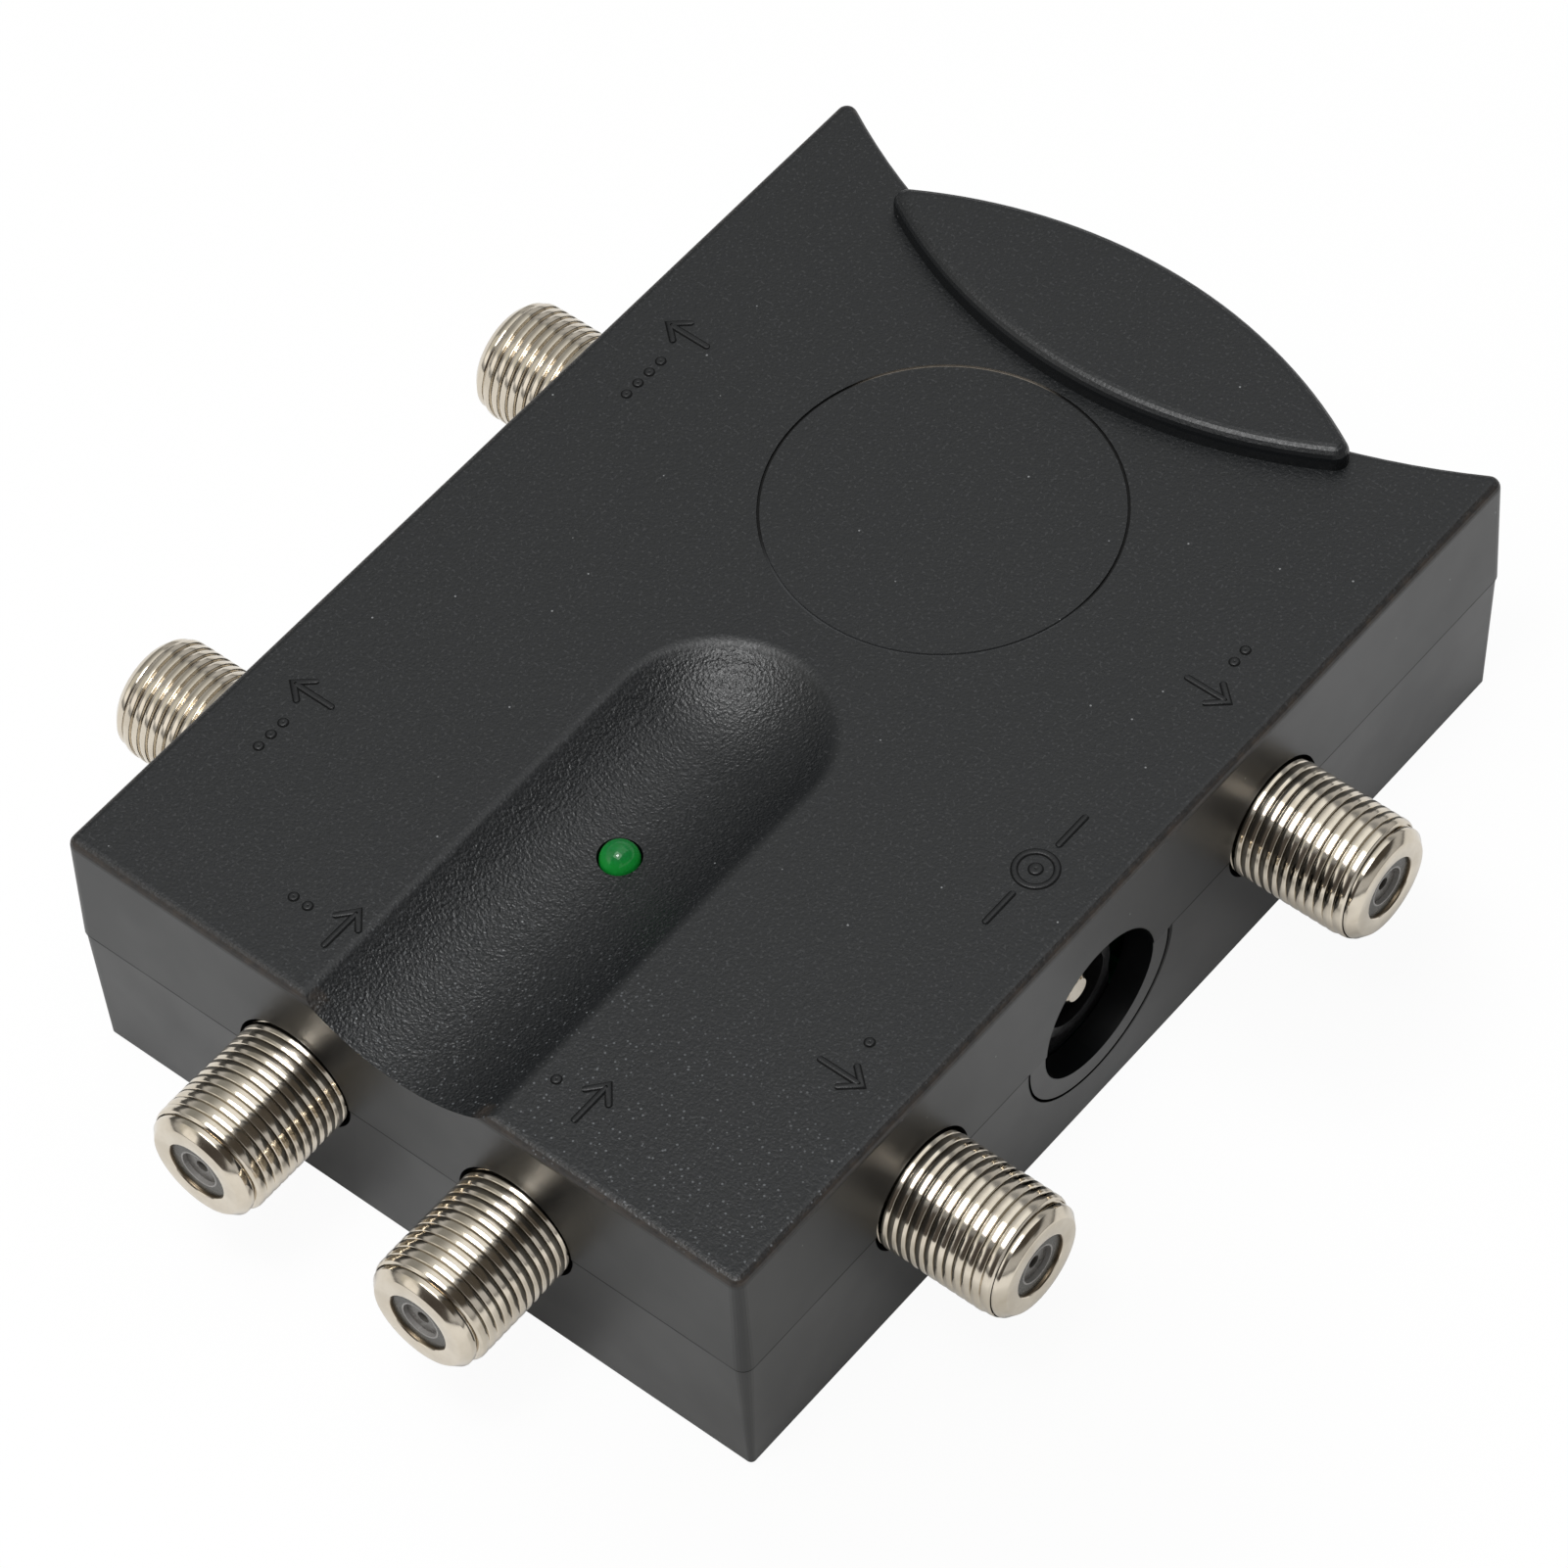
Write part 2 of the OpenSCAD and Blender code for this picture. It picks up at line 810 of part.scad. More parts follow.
// Plastic core of a port, with a countersink that leads the wire into the contact
module insulator() {
    funnel_floor = insulator_face - funnel_depth;
    outer = port_bore_r - fit_gap;
    inner = contact_r + fit_gap;
    color("lightgray")
        rotate([90, 0, 0])
            rotate_extrude()
                polygon([
                    [inner, -block_end], [outer, -block_end], [outer, insulator_face],
                    [funnel_r, insulator_face], [funnel_r, funnel_floor],
                    [contact_hole_r, funnel_floor], [contact_hole_r, contact_face],
                    [inner, contact_face]
                ]);
}

// Spring socket of a port, with its tail bent down through the board
module contact() {
    hole_end = contact_face - contact_depth;
    color("gold") {
        rotate([90, 0, 0])
            rotate_extrude()
                polygon([
                    [0, -block_end], [contact_r, -block_end], [contact_r, contact_face],
                    [contact_hole_r, contact_face], [contact_hole_r, hole_end], [0, hole_end]
                ]);
        bend(block_end - sink, block_end + tail_reach - tail_bend_r, tail_r, tail_bend_r,
            lead_foot - seam_z);
    }
}

// Round wire that runs back from y0 to y1, turns down and ends at height z
module bend(y0, y1, r, turn_r, z) {
    translate([0, y1, 0])
        rotate([90, 0, 0])
            cylinder(r = r, h = y1 - y0);
    translate([0, y1, -turn_r])
        rotate([90, 0, 90])
            rotate_extrude(angle = 90)
                translate([turn_r, 0])
                    circle(r);
    translate([0, y1 + turn_r, z])
        cylinder(r = r, h = -turn_r - z);
}

module in1_barrel() {
    placed()
        at_port(IN1)
            barrel();
}

module in1_block() {
    placed()
        at_port(IN1)
            block();
}

module in1_insulator() {
    placed()
        at_port(IN1)
            insulator();
}

module in1_contact() {
    placed()
        at_port(IN1)
            contact();
}

module in2_barrel() {
    placed()
        at_port(IN2)
            barrel();
}

module in2_block() {
    placed()
        at_port(IN2)
            block();
}

module in2_insulator() {
    placed()
        at_port(IN2)
            insulator();
}

module in2_contact() {
    placed()
        at_port(IN2)
            contact();
}

module out1_barrel() {
    placed()
        at_port(OUT1)
            barrel();
}

module out1_block() {
    placed()
        at_port(OUT1)
            block();
}

module out1_insulator() {
    placed()
        at_port(OUT1)
            insulator();
}

module out1_contact() {
    placed()
        at_port(OUT1)
            contact();
}

module out2_barrel() {
    placed()
        at_port(OUT2)
            barrel();
}

module out2_block() {
    placed()
        at_port(OUT2)
            block();
}

module out2_insulator() {
    placed()
        at_port(OUT2)
            insulator();
}

module out2_contact() {
    placed()
        at_port(OUT2)
            contact();
}

module out3_barrel() {
    placed()
        at_port(OUT3)
            barrel();
}

module out3_block() {
    placed()
        at_port(OUT3)
            block();
}

module out3_insulator() {
    placed()
        at_port(OUT3)
            insulator();
}

module out3_contact() {
    placed()
        at_port(OUT3)
            contact();
}

module out4_barrel() {
    placed()
        at_port(OUT4)
            barrel();
}

module out4_block() {
    placed()
        at_port(OUT4)
            block();
}

module out4_insulator() {
    placed()
        at_port(OUT4)
            insulator();
}

module out4_contact() {
    placed()
        at_port(OUT4)
            contact();
}

// Moulded body of the power socket, open below for the spring
module socket_body() {
    low = board_top - socket_z;
    color("black")
        placed()
            at_socket()
                difference() {
                    union() {
                        translate([-socket_w / 2, 0, low])
                            cube([socket_w, socket_flange_l, socket_h]);
                        rotate([90, 0, 0])
                            rotate_extrude()
                                polygon([
                                    [0, -socket_l], [socket_barrel_r, -socket_l],
                                    [socket_barrel_r, socket_nose_l - socket_nose_bevel],
                                    [socket_barrel_r - socket_nose_bevel, socket_nose_l], [0, socket_nose_l]
                                ]);
                        translate([-socket_foot_w / 2, socket_step, low])
                            cube([socket_foot_w, socket_l - socket_step, -low]);
                    }
                    translate([0, socket_bore_depth, 0])
                        rotate([90, 0, 0])
                            cylinder(r = socket_bore_r, h = socket_bore_depth + socket_nose_l + over);
                    translate([0, socket_l + over, 0])
                        rotate([90, 0, 0])
                            cylinder(r = pin_root_r + fit_gap, h = socket_l);
                    translate([-spring_w / 2 - spring_gap, spring_slot_y, low - over])
                        cube([spring_w + 2 * spring_gap, spring_y + tab_t - spring_slot_y, over - low]);
                }
}

// Turned pin, seated on the floor of the bore and riveted to its terminal
module socket_pin() {
    rivet = socket_l + tab_t;
    color("silver")
        placed()
            at_socket()
                rotate([90, 0, 0])
                    rotate_extrude()
                        polygon([
                            [0, -rivet], [pin_root_r, -rivet], [pin_root_r, -socket_bore_depth],
                            [socket_pin_r, -socket_bore_depth],
                            [socket_pin_r, pin_front - pin_tip],
                            [socket_pin_r - pin_tip, pin_front], [0, pin_front]
                        ]);
}

// Sheet-metal terminal behind the socket's body, with a tab through the board
module socket_terminal() {
    drop = socket_z - lead_foot;
    color("silver")
        placed()
            at_socket()
                translate([0, socket_l + tab_t, 0])
                    rotate([90, 0, 0])
                        linear_extrude(tab_t)
                            difference() {
                                union() {
                                    circle(pin_root_r + tab_w / 2);
                                    translate([-tab_w / 2, -drop])
                                        square([tab_w, drop]);
                                }
                                circle(pin_root_r + fit_gap);
                            }
}

// Leaf spring that touches the outside of the plug from below
module socket_spring() {
    foot = lead_foot - socket_z;
    touch = 0.35 - socket_bore_r;
    knee = -4.6;
    tip = [2.6, -socket_bore_r - 0.5];
    crest = [3.9, 4.4];
    color("silver")
        placed()
            at_socket()
                translate([-spring_w / 2, 0, 0])
                    rotate([90, 0, 90])
                        linear_extrude(spring_w)
                            polygon([
                                [spring_y + tab_t, foot], [spring_y + tab_t, knee],
                                [crest[1], touch], [crest[0], touch], tip,
                                [tip[0], tip[1] - tab_t], [crest[0] + tab_t / 2, touch - tab_t],
                                [spring_y, knee - tab_t], [spring_y, foot]
                            ]);
}

// Round lens with a dome on top and a flange at its foot
module lamp_lens() {
    color("green")
        placed()
            translate([0, lamp_y, lamp_top - lamp_body_h])
                rotate_extrude() {
                    square([lamp_flange_r, lamp_flange_h]);
                    square([lamp_r, lamp_body_h - lamp_r]);
                    translate([0, lamp_body_h - lamp_r])
                        intersection() {
                            circle(lamp_r);
                            square(lamp_r);
                        }
                }
}

module lamp_leads() {
    w = lamp_lead_w;
    color("silver")
        placed()
            for (side = [-1, 1])
                translate([side * lamp_lead_pitch / 2 - w / 2, lamp_y - w / 2, lead_foot])
                    cube([w, w, lamp_top - lamp_body_h - lead_foot]);
}

// Sheet-metal cover over the amplifier, open below, with six vent holes
module shield_can() {
    color("silver")
        placed()
            translate([0, can_y, board_top])
                difference() {
                    translate([-can_w / 2, -can_l / 2, 0])
                        cube([can_w, can_l, can_h]);
                    translate([can_t - can_w / 2, can_t - can_l / 2, -over])
                        cube([can_w - 2 * can_t, can_l - 2 * can_t, can_h - can_t + over]);
                    for (x = [-can_w / 4, 0, can_w / 4])
                        for (y = [-can_l / 5, can_l / 5])
                            translate([x, y, can_h / 2])
                                cylinder(r = can_vent_r, h = can_h);
                }
}

// Bent lead of a chip, w wide: leaves the body at x = 0 and stands on the board
module gull_lead(w) {
    t = 0.2;
    knee = 0.45;
    foot = 1.2;
    translate([0, w / 2, 0])
        rotate([90, 0, 0])
            linear_extrude(w)
                polygon([
                    [-t, knee + t], [knee, knee + t], [knee + t, t], [foot, t],
                    [foot, 0], [knee, 0], [knee - t, knee], [-t, knee]
                ]);
}

// Chip with a row of leads on each of its two long sides
module chip(w, l, h, left, right, pitch, left_w, right_w) {
    stand = 0.1;
    translate([-w / 2, -l / 2, stand])
        cube([w, l, h]);
    for (i = [0:left - 1])
        translate([-w / 2, (i - (left - 1) / 2) * pitch, 0])
            rotate([0, 0, 180])
                gull_lead(left_w);
    for (i = [0:right - 1])
        translate([w / 2, (i - (right - 1) / 2) * pitch, 0])
            gull_lead(right_w);
}

module amplifier_chip() {
    color("black")
        placed()
            translate([0, chip_y, board_top])
                chip(chip_w, chip_l, chip_h, 4, 4, chip_pitch, chip_lead_w, chip_lead_w);
}

module voltage_regulator() {
    color("black")
        placed()
            translate([regulator_x, regulator_y, board_top])
                chip(regulator_w, regulator_l, regulator_h, 3, 1, regulator_pitch,
                    regulator_lead_w, regulator_tab_w);
}

// Upright can capacitor with a rolled groove near its foot and two wire leads
module capacitor(r, h) {
    edge = 0.3;
    groove_z = 1.3;
    groove_d = 0.25;
    rotate_extrude()
        polygon([
            [0, 0], [r - edge, 0], [r, edge], [r, groove_z - groove_d], [r - groove_d, groove_z],
            [r, groove_z + groove_d], [r, h - edge], [r - edge, h], [0, h]
        ]);
    for (side = [-1, 1])
        translate([side * cap_lead_pitch / 2, 0, -board_t - lead_below])
            cylinder(r = cap_lead_r, h = board_t + lead_below + sink);
}

module input_capacitor() {
    color("navy")
        placed()
            translate([CAPACITORS[0][0], CAPACITORS[0][1], board_top])
                capacitor(input_cap_r, input_cap_h);
}

module output_capacitor() {
    color("navy")
        placed()
            translate([CAPACITORS[1][0], CAPACITORS[1][1], board_top])
                capacitor(output_cap_r, output_cap_h);
}

// Ferrite block with two holes side by side
module core() {
    color("dimgray")
        difference() {
            translate([-core_w / 2, -core_l / 2, 0])
                cube([core_w, core_l, core_h]);
            for (side = [-1, 1])
                translate([side * core_pitch / 2, core_l, core_h / 2])
                    rotate([90, 0, 0])
                        cylinder(r = core_hole_r, h = 2 * core_l);
        }
}

// Enamelled wire that goes through both holes of a core and down to the board
module winding() {
    out = core_l / 2 + wire_out;
    color("chocolate")
        translate([0, 0, core_h / 2]) {
            for (side = [-1, 1])
                translate([side * core_pitch / 2, 0, 0])
                    bend(-out, out, wire_r, 2 * wire_r, -core_h / 2);
            translate([0, -out, 0])
                rotate([0, 0, 180])
                    rotate_extrude(angle = 180)
                        translate([core_pitch / 2, 0])
                            circle(wire_r);
        }
}

// Puts children at splitter core i
module at_core(i) {
    translate([CORES[i][0], CORES[i][1], board_top])
        rotate([0, 0, CORES[i][2]])
            children();
}

module splitter_core_1() {
    placed()
        at_core(0)
            core();
}

module splitter_core_2() {
    placed()
        at_core(1)
            core();
}

module splitter_core_3() {
    placed()
        at_core(2)
            core();
}

module splitter_winding_1() {
    placed()
        at_core(0)
            winding();
}

module splitter_winding_2() {
    placed()
        at_core(1)
            winding();
}

module splitter_winding_3() {
    placed()
        at_core(2)
            winding();
}

// Drum choke with two round flanges
module choke() {
    r = 2.6;
    waist = 2.0;
    h = 4.2;
    flange = 0.8;
    slope = 0.2;
    color("dimgray")
        rotate_extrude()
            polygon([
                [0, 0], [r, 0], [r, flange], [waist, flange + slope], [waist, h - flange - slope],
                [r, h - flange], [r, h - slope], [r - slope, h], [0, h]
            ]);
}

module choke_1() {
    placed()
        translate([CHOKES[0][0], CHOKES[0][1], board_top])
            choke();
}

module choke_2() {
    placed()
        translate([CHOKES[1][0], CHOKES[1][1], board_top])
            choke();
}

// Diode with a tab folded under each end
module input_diode() {
    w = 2.6;
    l = 4.3;
    h = 2.0;
    stand = 0.2;
    tab = [1.5, 0.8, 1.1];
    color("black")
        placed()
            translate([diode_x, diode_y, board_top]) {
                translate([-w / 2, -l / 2, stand])
                    cube([w, l, h]);
                for (side = [-1, 1])
                    translate([-tab[0] / 2, side * l / 2 - tab[1] / 2, 0])
                        cube(tab);
            }
}

// Small chip resistors and capacitors, all of one size
module chip_parts() {
    color("tan")
        placed()
            for (p = CHIP_PARTS)
                translate([p[0], p[1], board_top])
                    rotate([0, 0, p[2]])
                        translate([-part_l / 2, -part_w / 2, 0])
                            cube([part_l, part_w, part_h]);
}

upper_shell();
lower_shell();
housing_screws();
circuit_board();
board_screws();
in1_barrel();
in1_block();
in1_insulator();
in1_contact();
in2_barrel();
in2_block();
in2_insulator();
in2_contact();
out1_barrel();
out1_block();
out1_insulator();
out1_contact();
out2_barrel();
out2_block();
out2_insulator();
out2_contact();
out3_barrel();
out3_block();
out3_insulator();
out3_contact();
out4_barrel();
out4_block();
out4_insulator();
out4_contact();
socket_body();
socket_pin();
socket_terminal();
socket_spring();
lamp_lens();
lamp_leads();
shield_can();
amplifier_chip();
voltage_regulator();
input_capacitor();
output_capacitor();
splitter_core_1();
splitter_core_2();
splitter_core_3();
splitter_winding_1();
splitter_winding_2();
splitter_winding_3();
choke_1();
choke_2();
input_diode();
chip_parts();
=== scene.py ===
import json
import math

import bmesh
import bpy
from mathutils import Matrix, Vector

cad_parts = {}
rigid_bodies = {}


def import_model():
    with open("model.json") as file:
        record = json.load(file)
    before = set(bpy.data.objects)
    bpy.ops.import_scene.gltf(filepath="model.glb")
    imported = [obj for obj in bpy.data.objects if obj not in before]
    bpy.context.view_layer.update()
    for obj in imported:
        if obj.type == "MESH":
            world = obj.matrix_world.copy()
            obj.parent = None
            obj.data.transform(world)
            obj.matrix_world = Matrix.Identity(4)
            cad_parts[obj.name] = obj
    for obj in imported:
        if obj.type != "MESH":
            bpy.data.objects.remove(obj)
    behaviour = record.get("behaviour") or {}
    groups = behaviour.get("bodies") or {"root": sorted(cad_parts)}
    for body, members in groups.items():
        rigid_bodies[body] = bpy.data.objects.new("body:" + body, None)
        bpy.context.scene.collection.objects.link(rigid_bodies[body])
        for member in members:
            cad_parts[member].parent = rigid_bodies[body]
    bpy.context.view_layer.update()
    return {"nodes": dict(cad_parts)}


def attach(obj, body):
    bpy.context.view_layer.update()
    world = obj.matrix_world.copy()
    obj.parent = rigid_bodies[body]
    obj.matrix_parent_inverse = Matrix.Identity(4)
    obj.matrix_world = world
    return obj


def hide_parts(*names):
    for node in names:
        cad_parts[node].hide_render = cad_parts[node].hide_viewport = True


for startup_object in list(bpy.data.objects):
    bpy.data.objects.remove(startup_object)

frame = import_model()
scene = bpy.context.scene

MM = 0.001

# Places of the model in millimetres, as in the part's source: its y runs back from the front face
SHIFT_Y = -38.45  # from the source's y to the row's
TOP_Z = 23.6  # the flat top
SEAM_Z = 12.8  # where the two shells meet, and the ports' axes
WINDOW_Y = 39.2  # middle of the power window
WINDOW_Z = 12.2
RING_Y = 60.4  # circular groove in the top
RING_R = 13.3
BORE_R = 2.47  # mouth of a port's barrel
PORTS = {  # x and y of the foot, and the turn about Z from a port that points to the front
    "in1": (10.1, 0.0, 0),
    "in2": (-10.1, 0.0, 0),
    "out1": (30.5, 19.2, 90),
    "out2": (30.5, 59.2, 90),
    "out3": (-30.5, 19.2, -90),
    "out4": (-30.5, 59.2, -90),
}

WHITE = (1.0, 1.0, 1.0, 1.0)


def place(x, y, z):
    """A point of the source in metres, in the row frame."""
    return Vector((x * MM, (y + SHIFT_Y) * MM, z * MM))


# Camera, fitted to points measured in the photo

CAMERA_LENS = 167.06  # mm on a sensor of 36 mm
CAMERA_SENSOR = 36
CAMERA_EYE = (0.21032, -0.22922, 0.42895)
CAMERA_TARGET = (0.0002, 0.00283, 0.0111)
CAMERA_ROLL = -3.798  # degrees


def make_camera():
    data = bpy.data.cameras.new("camera")
    data.lens = CAMERA_LENS
    data.sensor_width = CAMERA_SENSOR
    data.clip_start = 0.01
    data.clip_end = 20
    camera = bpy.data.objects.new("camera", data)
    scene.collection.objects.link(camera)
    eye = Vector(CAMERA_EYE)
    ahead = (Vector(CAMERA_TARGET) - eye).normalized()
    right = ahead.cross(Vector((0, 0, 1))).normalized()
    up = right.cross(ahead)
    roll = math.radians(CAMERA_ROLL)
    x = math.cos(roll) * right + math.sin(roll) * up
    y = math.cos(roll) * up - math.sin(roll) * right
    camera.matrix_world = Matrix.Translation(eye) @ Matrix((x, y, -ahead)).transposed().to_4x4()
    scene.camera = camera


# Node trees

# Colour sockets of Blender's Mix node, by number, because its other sockets have the same names
MIX_A = 6
MIX_B = 7
MIX_RESULT = 2


class Tree:
    """Makes and joins the nodes of one tree. A value is a number, a colour, a vector or the output
    of another node, and a mask is an output that runs from 0 to 1."""

    def __init__(self, tree):
        self.tree = tree

    def node(self, kind, inputs=(), **settings):
        made = self.tree.nodes.new(kind)
        for key, value in settings.items():
            setattr(made, key, value)
        for key, value in dict(inputs).items():
            self.feed(made.inputs[key], value)
        return made

    def feed(self, socket, value):
        if isinstance(value, bpy.types.NodeSocket):
            self.tree.links.new(value, socket)
        else:
            socket.default_value = value

    def math(self, operation, a, b=0.0):
        return self.node("ShaderNodeMath", {0: a, 1: b}, operation=operation).outputs[0]

    def times(self, value, *others):
        """Product of any number of values."""
        for other in others:
            value = self.math("MULTIPLY", value, other)
        return value

    def away(self, value, middle):
        """How far a value is from middle, on either side."""
        return self.math("ABSOLUTE", self.math("SUBTRACT", value, middle))

    def length(self, a, b):
        """Length of the vector (a, b)."""
        squares = self.math("ADD", self.math("POWER", a, 2.0), self.math("POWER", b, 2.0))
        return self.math("SQRT", squares)

    def span(self, value, low, high, to_low=0.0, to_high=1.0):
        """Soft step from to_low at low to to_high at high; low may be the larger of the two."""
        made = self.node(
            "ShaderNodeMapRange",
            {"Value": value, "From Min": low, "From Max": high, "To Min": to_low, "To Max": to_high},
            interpolation_type="SMOOTHSTEP",
        )
        return made.outputs["Result"]

    def split(self, vector):
        return self.node("ShaderNodeSeparateXYZ", {"Vector": vector}).outputs

    def blend(self, mask, a, b):
        """Number a where the mask is 0, and b where it is 1."""
        return self.node("ShaderNodeMix", {"Factor": mask, "A": a, "B": b}, data_type="FLOAT").outputs[0]

    def colours(self, mask, a, b):
        """Colour a where the mask is 0, and b where it is 1."""
        made = self.node("ShaderNodeMix", data_type="RGBA")
        self.feed(made.inputs["Factor"], mask)
        for number, colour in ((MIX_A, a), (MIX_B, b)):
            self.feed(made.inputs[number], (*colour, 1.0) if isinstance(colour, tuple) else colour)
        return made.outputs[MIX_RESULT]

    def mix_shaders(self, mask, a, b):
        return self.node("ShaderNodeMixShader", {"Fac": mask, 1: a, 2: b}).outputs[0]


class Finish(Tree):
    """A material with a Principled shader. Its patterns lie in the object's own space, so their
    scales are per metre."""

    def __init__(self, name, **sockets):
        self.material = bpy.data.materials.new(name)
        self.material.use_nodes = True
        super().__init__(self.material.node_tree)
        self.shader = self.tree.nodes["Principled BSDF"]
        for key, value in sockets.items():
            self.out(key.replace("_", " "), value)
        self.coords = self.node("ShaderNodeTexCoord").outputs
        self.point = self.coords["Object"]

    def out(self, socket, value):
        self.feed(self.shader.inputs[socket], value)

    def bump(self, height, depth):
        """Bumps the surface by a height from 0 to 1, which stands for depth in mm."""
        made = self.node("ShaderNodeBump", {"Height": height, "Distance": depth * MM})
        self.out("Normal", made.outputs["Normal"])

    def noise(self, scale, detail=2.0, rough=0.5, stretch=None):
        point = self.point
        if stretch is not None:
            point = self.node("ShaderNodeMapping", {"Vector": point, "Scale": stretch}).outputs["Vector"]
        made = self.node(
            "ShaderNodeTexNoise", {"Vector": point, "Scale": scale, "Detail": detail, "Roughness": rough}
        )
        return made.outputs["Fac"]

    def spread(self, noise, low=0.0, high=1.0):
        """A noise whose usual values, 0.3 to 0.7, are spread from low to high."""
        return self.span(noise, 0.3, 0.7, low, high)

    def cells(self, scale, feature="F1"):
        made = self.node("ShaderNodeTexVoronoi", {"Vector": self.point, "Scale": scale}, feature=feature)
        return made.outputs

    def specks(self, scale, radius, rarity):
        """Mask of small round specks in some cells, soft in their outer part; rarity is the share of
        cells without one."""
        cells = self.cells(scale)
        chosen = self.math("GREATER_THAN", self.split(cells["Color"])["X"], rarity)
        return self.times(chosen, self.span(cells["Distance"], radius, radius * 0.6))


# Materials

class HousingPlastic(Finish):
    """Black plastic from a spark-eroded mould: grain on all that faces up, with painted sparkle on it,
    a finer one on the walls, specks of dust, wear and a painted sheen on the upper edge, painted glints,
    painted shade and highlight in the circular groove, and shadow lines where the two shells meet."""

    # Grain: scales per metre, shares of the bumps' height, and their depth in mm
    GRAIN_SCALE = 4300
    PIT_SCALE = 4600
    PIT_SHARE = 0.45
    FINE_SCALE = 6500
    FINE_SHARE = 0.06
    GRAIN_DEPTH = 0.062
    # Strength of the coarse grain on the flat top and below it, and what the corner adds
    TOP_STRENGTH = 0.42
    SUNK_STRENGTH = 1.35
    CORNER_STRENGTH = 0.22

    # Roughness of the walls and the top, and how much smoother strong grain is
    WALL_ROUGH = (0.33, 0.40)
    TOP_ROUGH = (0.41, 0.53)
    GRAIN_SHINE = 0.065
    SPECULAR = 0.5
    SHADOW_SPECULAR = 0.05

    # Bands of the normal's Z: where a mask is 0, and where it is 1
    FACES_UP = (0.55, 0.78)
    OFF_TOP = (0.96, 0.80)
    OFF_WALL = (0.08, 0.30)

    # Bands in metres, in the row frame: where a mask is 0, and where it is 1
    UPPER_Z = (0.0178, 0.0186)  # the channel's floor and all above it
    CORNER_X = (-0.016, 0.002)  # front right corner, whose grain shines most
    CORNER_Y = (-0.010, -0.034)
    BELOW_TOP_Z = (0.02345, 0.0228)
    RIGHT_WALL_X = (0.028, 0.029)
    SEAM_HALF = (0.00013, 0.00008)
    TONGUE_HALF = (0.0081, 0.0078)  # of the upper shell, round the power window
    CURVE_BLUR = (0.00003, -0.00003)
    CURVE_Z = (0.0129, 0.0127)
    WINDOW_R = (0.00624, 0.00619)
    WINDOW_X = (0.020, 0.021)
    WINDOW_SHARE = 0.55  # of the seam's darkness, on the window's wall
    GROOVE_HALF = (0.00017, 0.00014)
    GROOVE_Z = (0.02359, 0.02357)
    EDGE_Z = (0.0225, 0.0230)
    EDGE_X = (0.0284, 0.0289)
    EDGE_Y = (-0.0366, -0.0371)

    # Radius and half width of the curved seam: the first two numbers are y beside the window, and
    # the last two are the sizes there
    CURVE_R = (-0.003, 0.0075, 0.00801, 0.00812)
    CURVE_HALF = (-0.0078, 0.0070, 0.00009, 0.00027)

    # The photo's right on the flat top; the groove's look changes that way and to the far side
    RIGHT_X = 0.74
    RIGHT_Y = 0.67
    # Bands of the way to the far side in radii of the groove, and how far they lean to the right: a painted
    # highlight at the far end, and a painted tone like the lit top's at the near end
    FAR_HIGHLIGHT = (0.82, 0.95)
    FAR_HIGHLIGHT_LEAN = 0.15
    FAINT = (-0.35, -0.75)
    FAINT_LEAN = 0.30

    PLASTIC = ((0.0028, 0.0038, 0.0048), (0.0042, 0.0051, 0.0061))
    SHADOW = (0.002, 0.002, 0.002)
    # Painted sparkle on the grain of what faces up
    GRAIN_PAINTED_SPARKLE = (0.030, 0.031, 0.033)
    # Wear with a painted sheen on the rounded upper edge
    EDGE_WEAR_AND_SHEEN = (0.028, 0.021, 0.016)
    GLINT = (0.105, 0.111, 0.118)
    DUST = (0.19, 0.195, 0.20)
    # Painted shade in the circular groove, a painted highlight at its far end, and a painted tone like the
    # lit top's at its near end
    GROOVE_SHADE = (0.012, 0.012, 0.012)
    GROOVE_PAINTED_HIGHLIGHT = (0.19, 0.170, 0.145)
    GROOVE_FAINT = (0.060, 0.062, 0.064)

    def __init__(self):
        super().__init__("housing_plastic")
        self.x, self.y, self.z = self.split(self.point)
        self.facing = self.split(self.coords["Normal"])["Z"]
        self.upper = self.span(self.z, *self.UPPER_Z)
        self.upward = self.times(self.span(self.facing, *self.FACES_UP), self.upper)
        self.corner = self.times(self.span(self.y, *self.CORNER_Y), self.span(self.x, *self.CORNER_X))
        self.grain = self.noise(self.GRAIN_SCALE, 1.5, 0.6)
        self.cloud = self.noise(90, 3.0, 0.6)
        strength = self.bump_grain()
        seam = self.seam_shadow()
        groove, groove_light_and_shade = self.circular_groove()
        colour = self.colours(groove, self.plastic_colour(), groove_light_and_shade)
        dust = self.times(self.specks(scale=620, radius=0.06, rarity=0.80), self.upper)
        colour = self.colours(dust, colour, self.DUST)
        self.out("Base Color", self.colours(seam, colour, self.SHADOW))
        rough_wall = self.spread(self.cloud, *self.WALL_ROUGH)
        rough_top = self.spread(self.grain, *self.TOP_ROUGH)
        rough_top = self.math("SUBTRACT", rough_top, self.times(strength, self.GRAIN_SHINE))
        self.out("Roughness", self.blend(self.upward, rough_wall, rough_top))
        dark = self.math("MAXIMUM", seam, groove)
        self.out("Specular IOR Level", self.blend(dark, self.SPECULAR, self.SHADOW_SPECULAR))

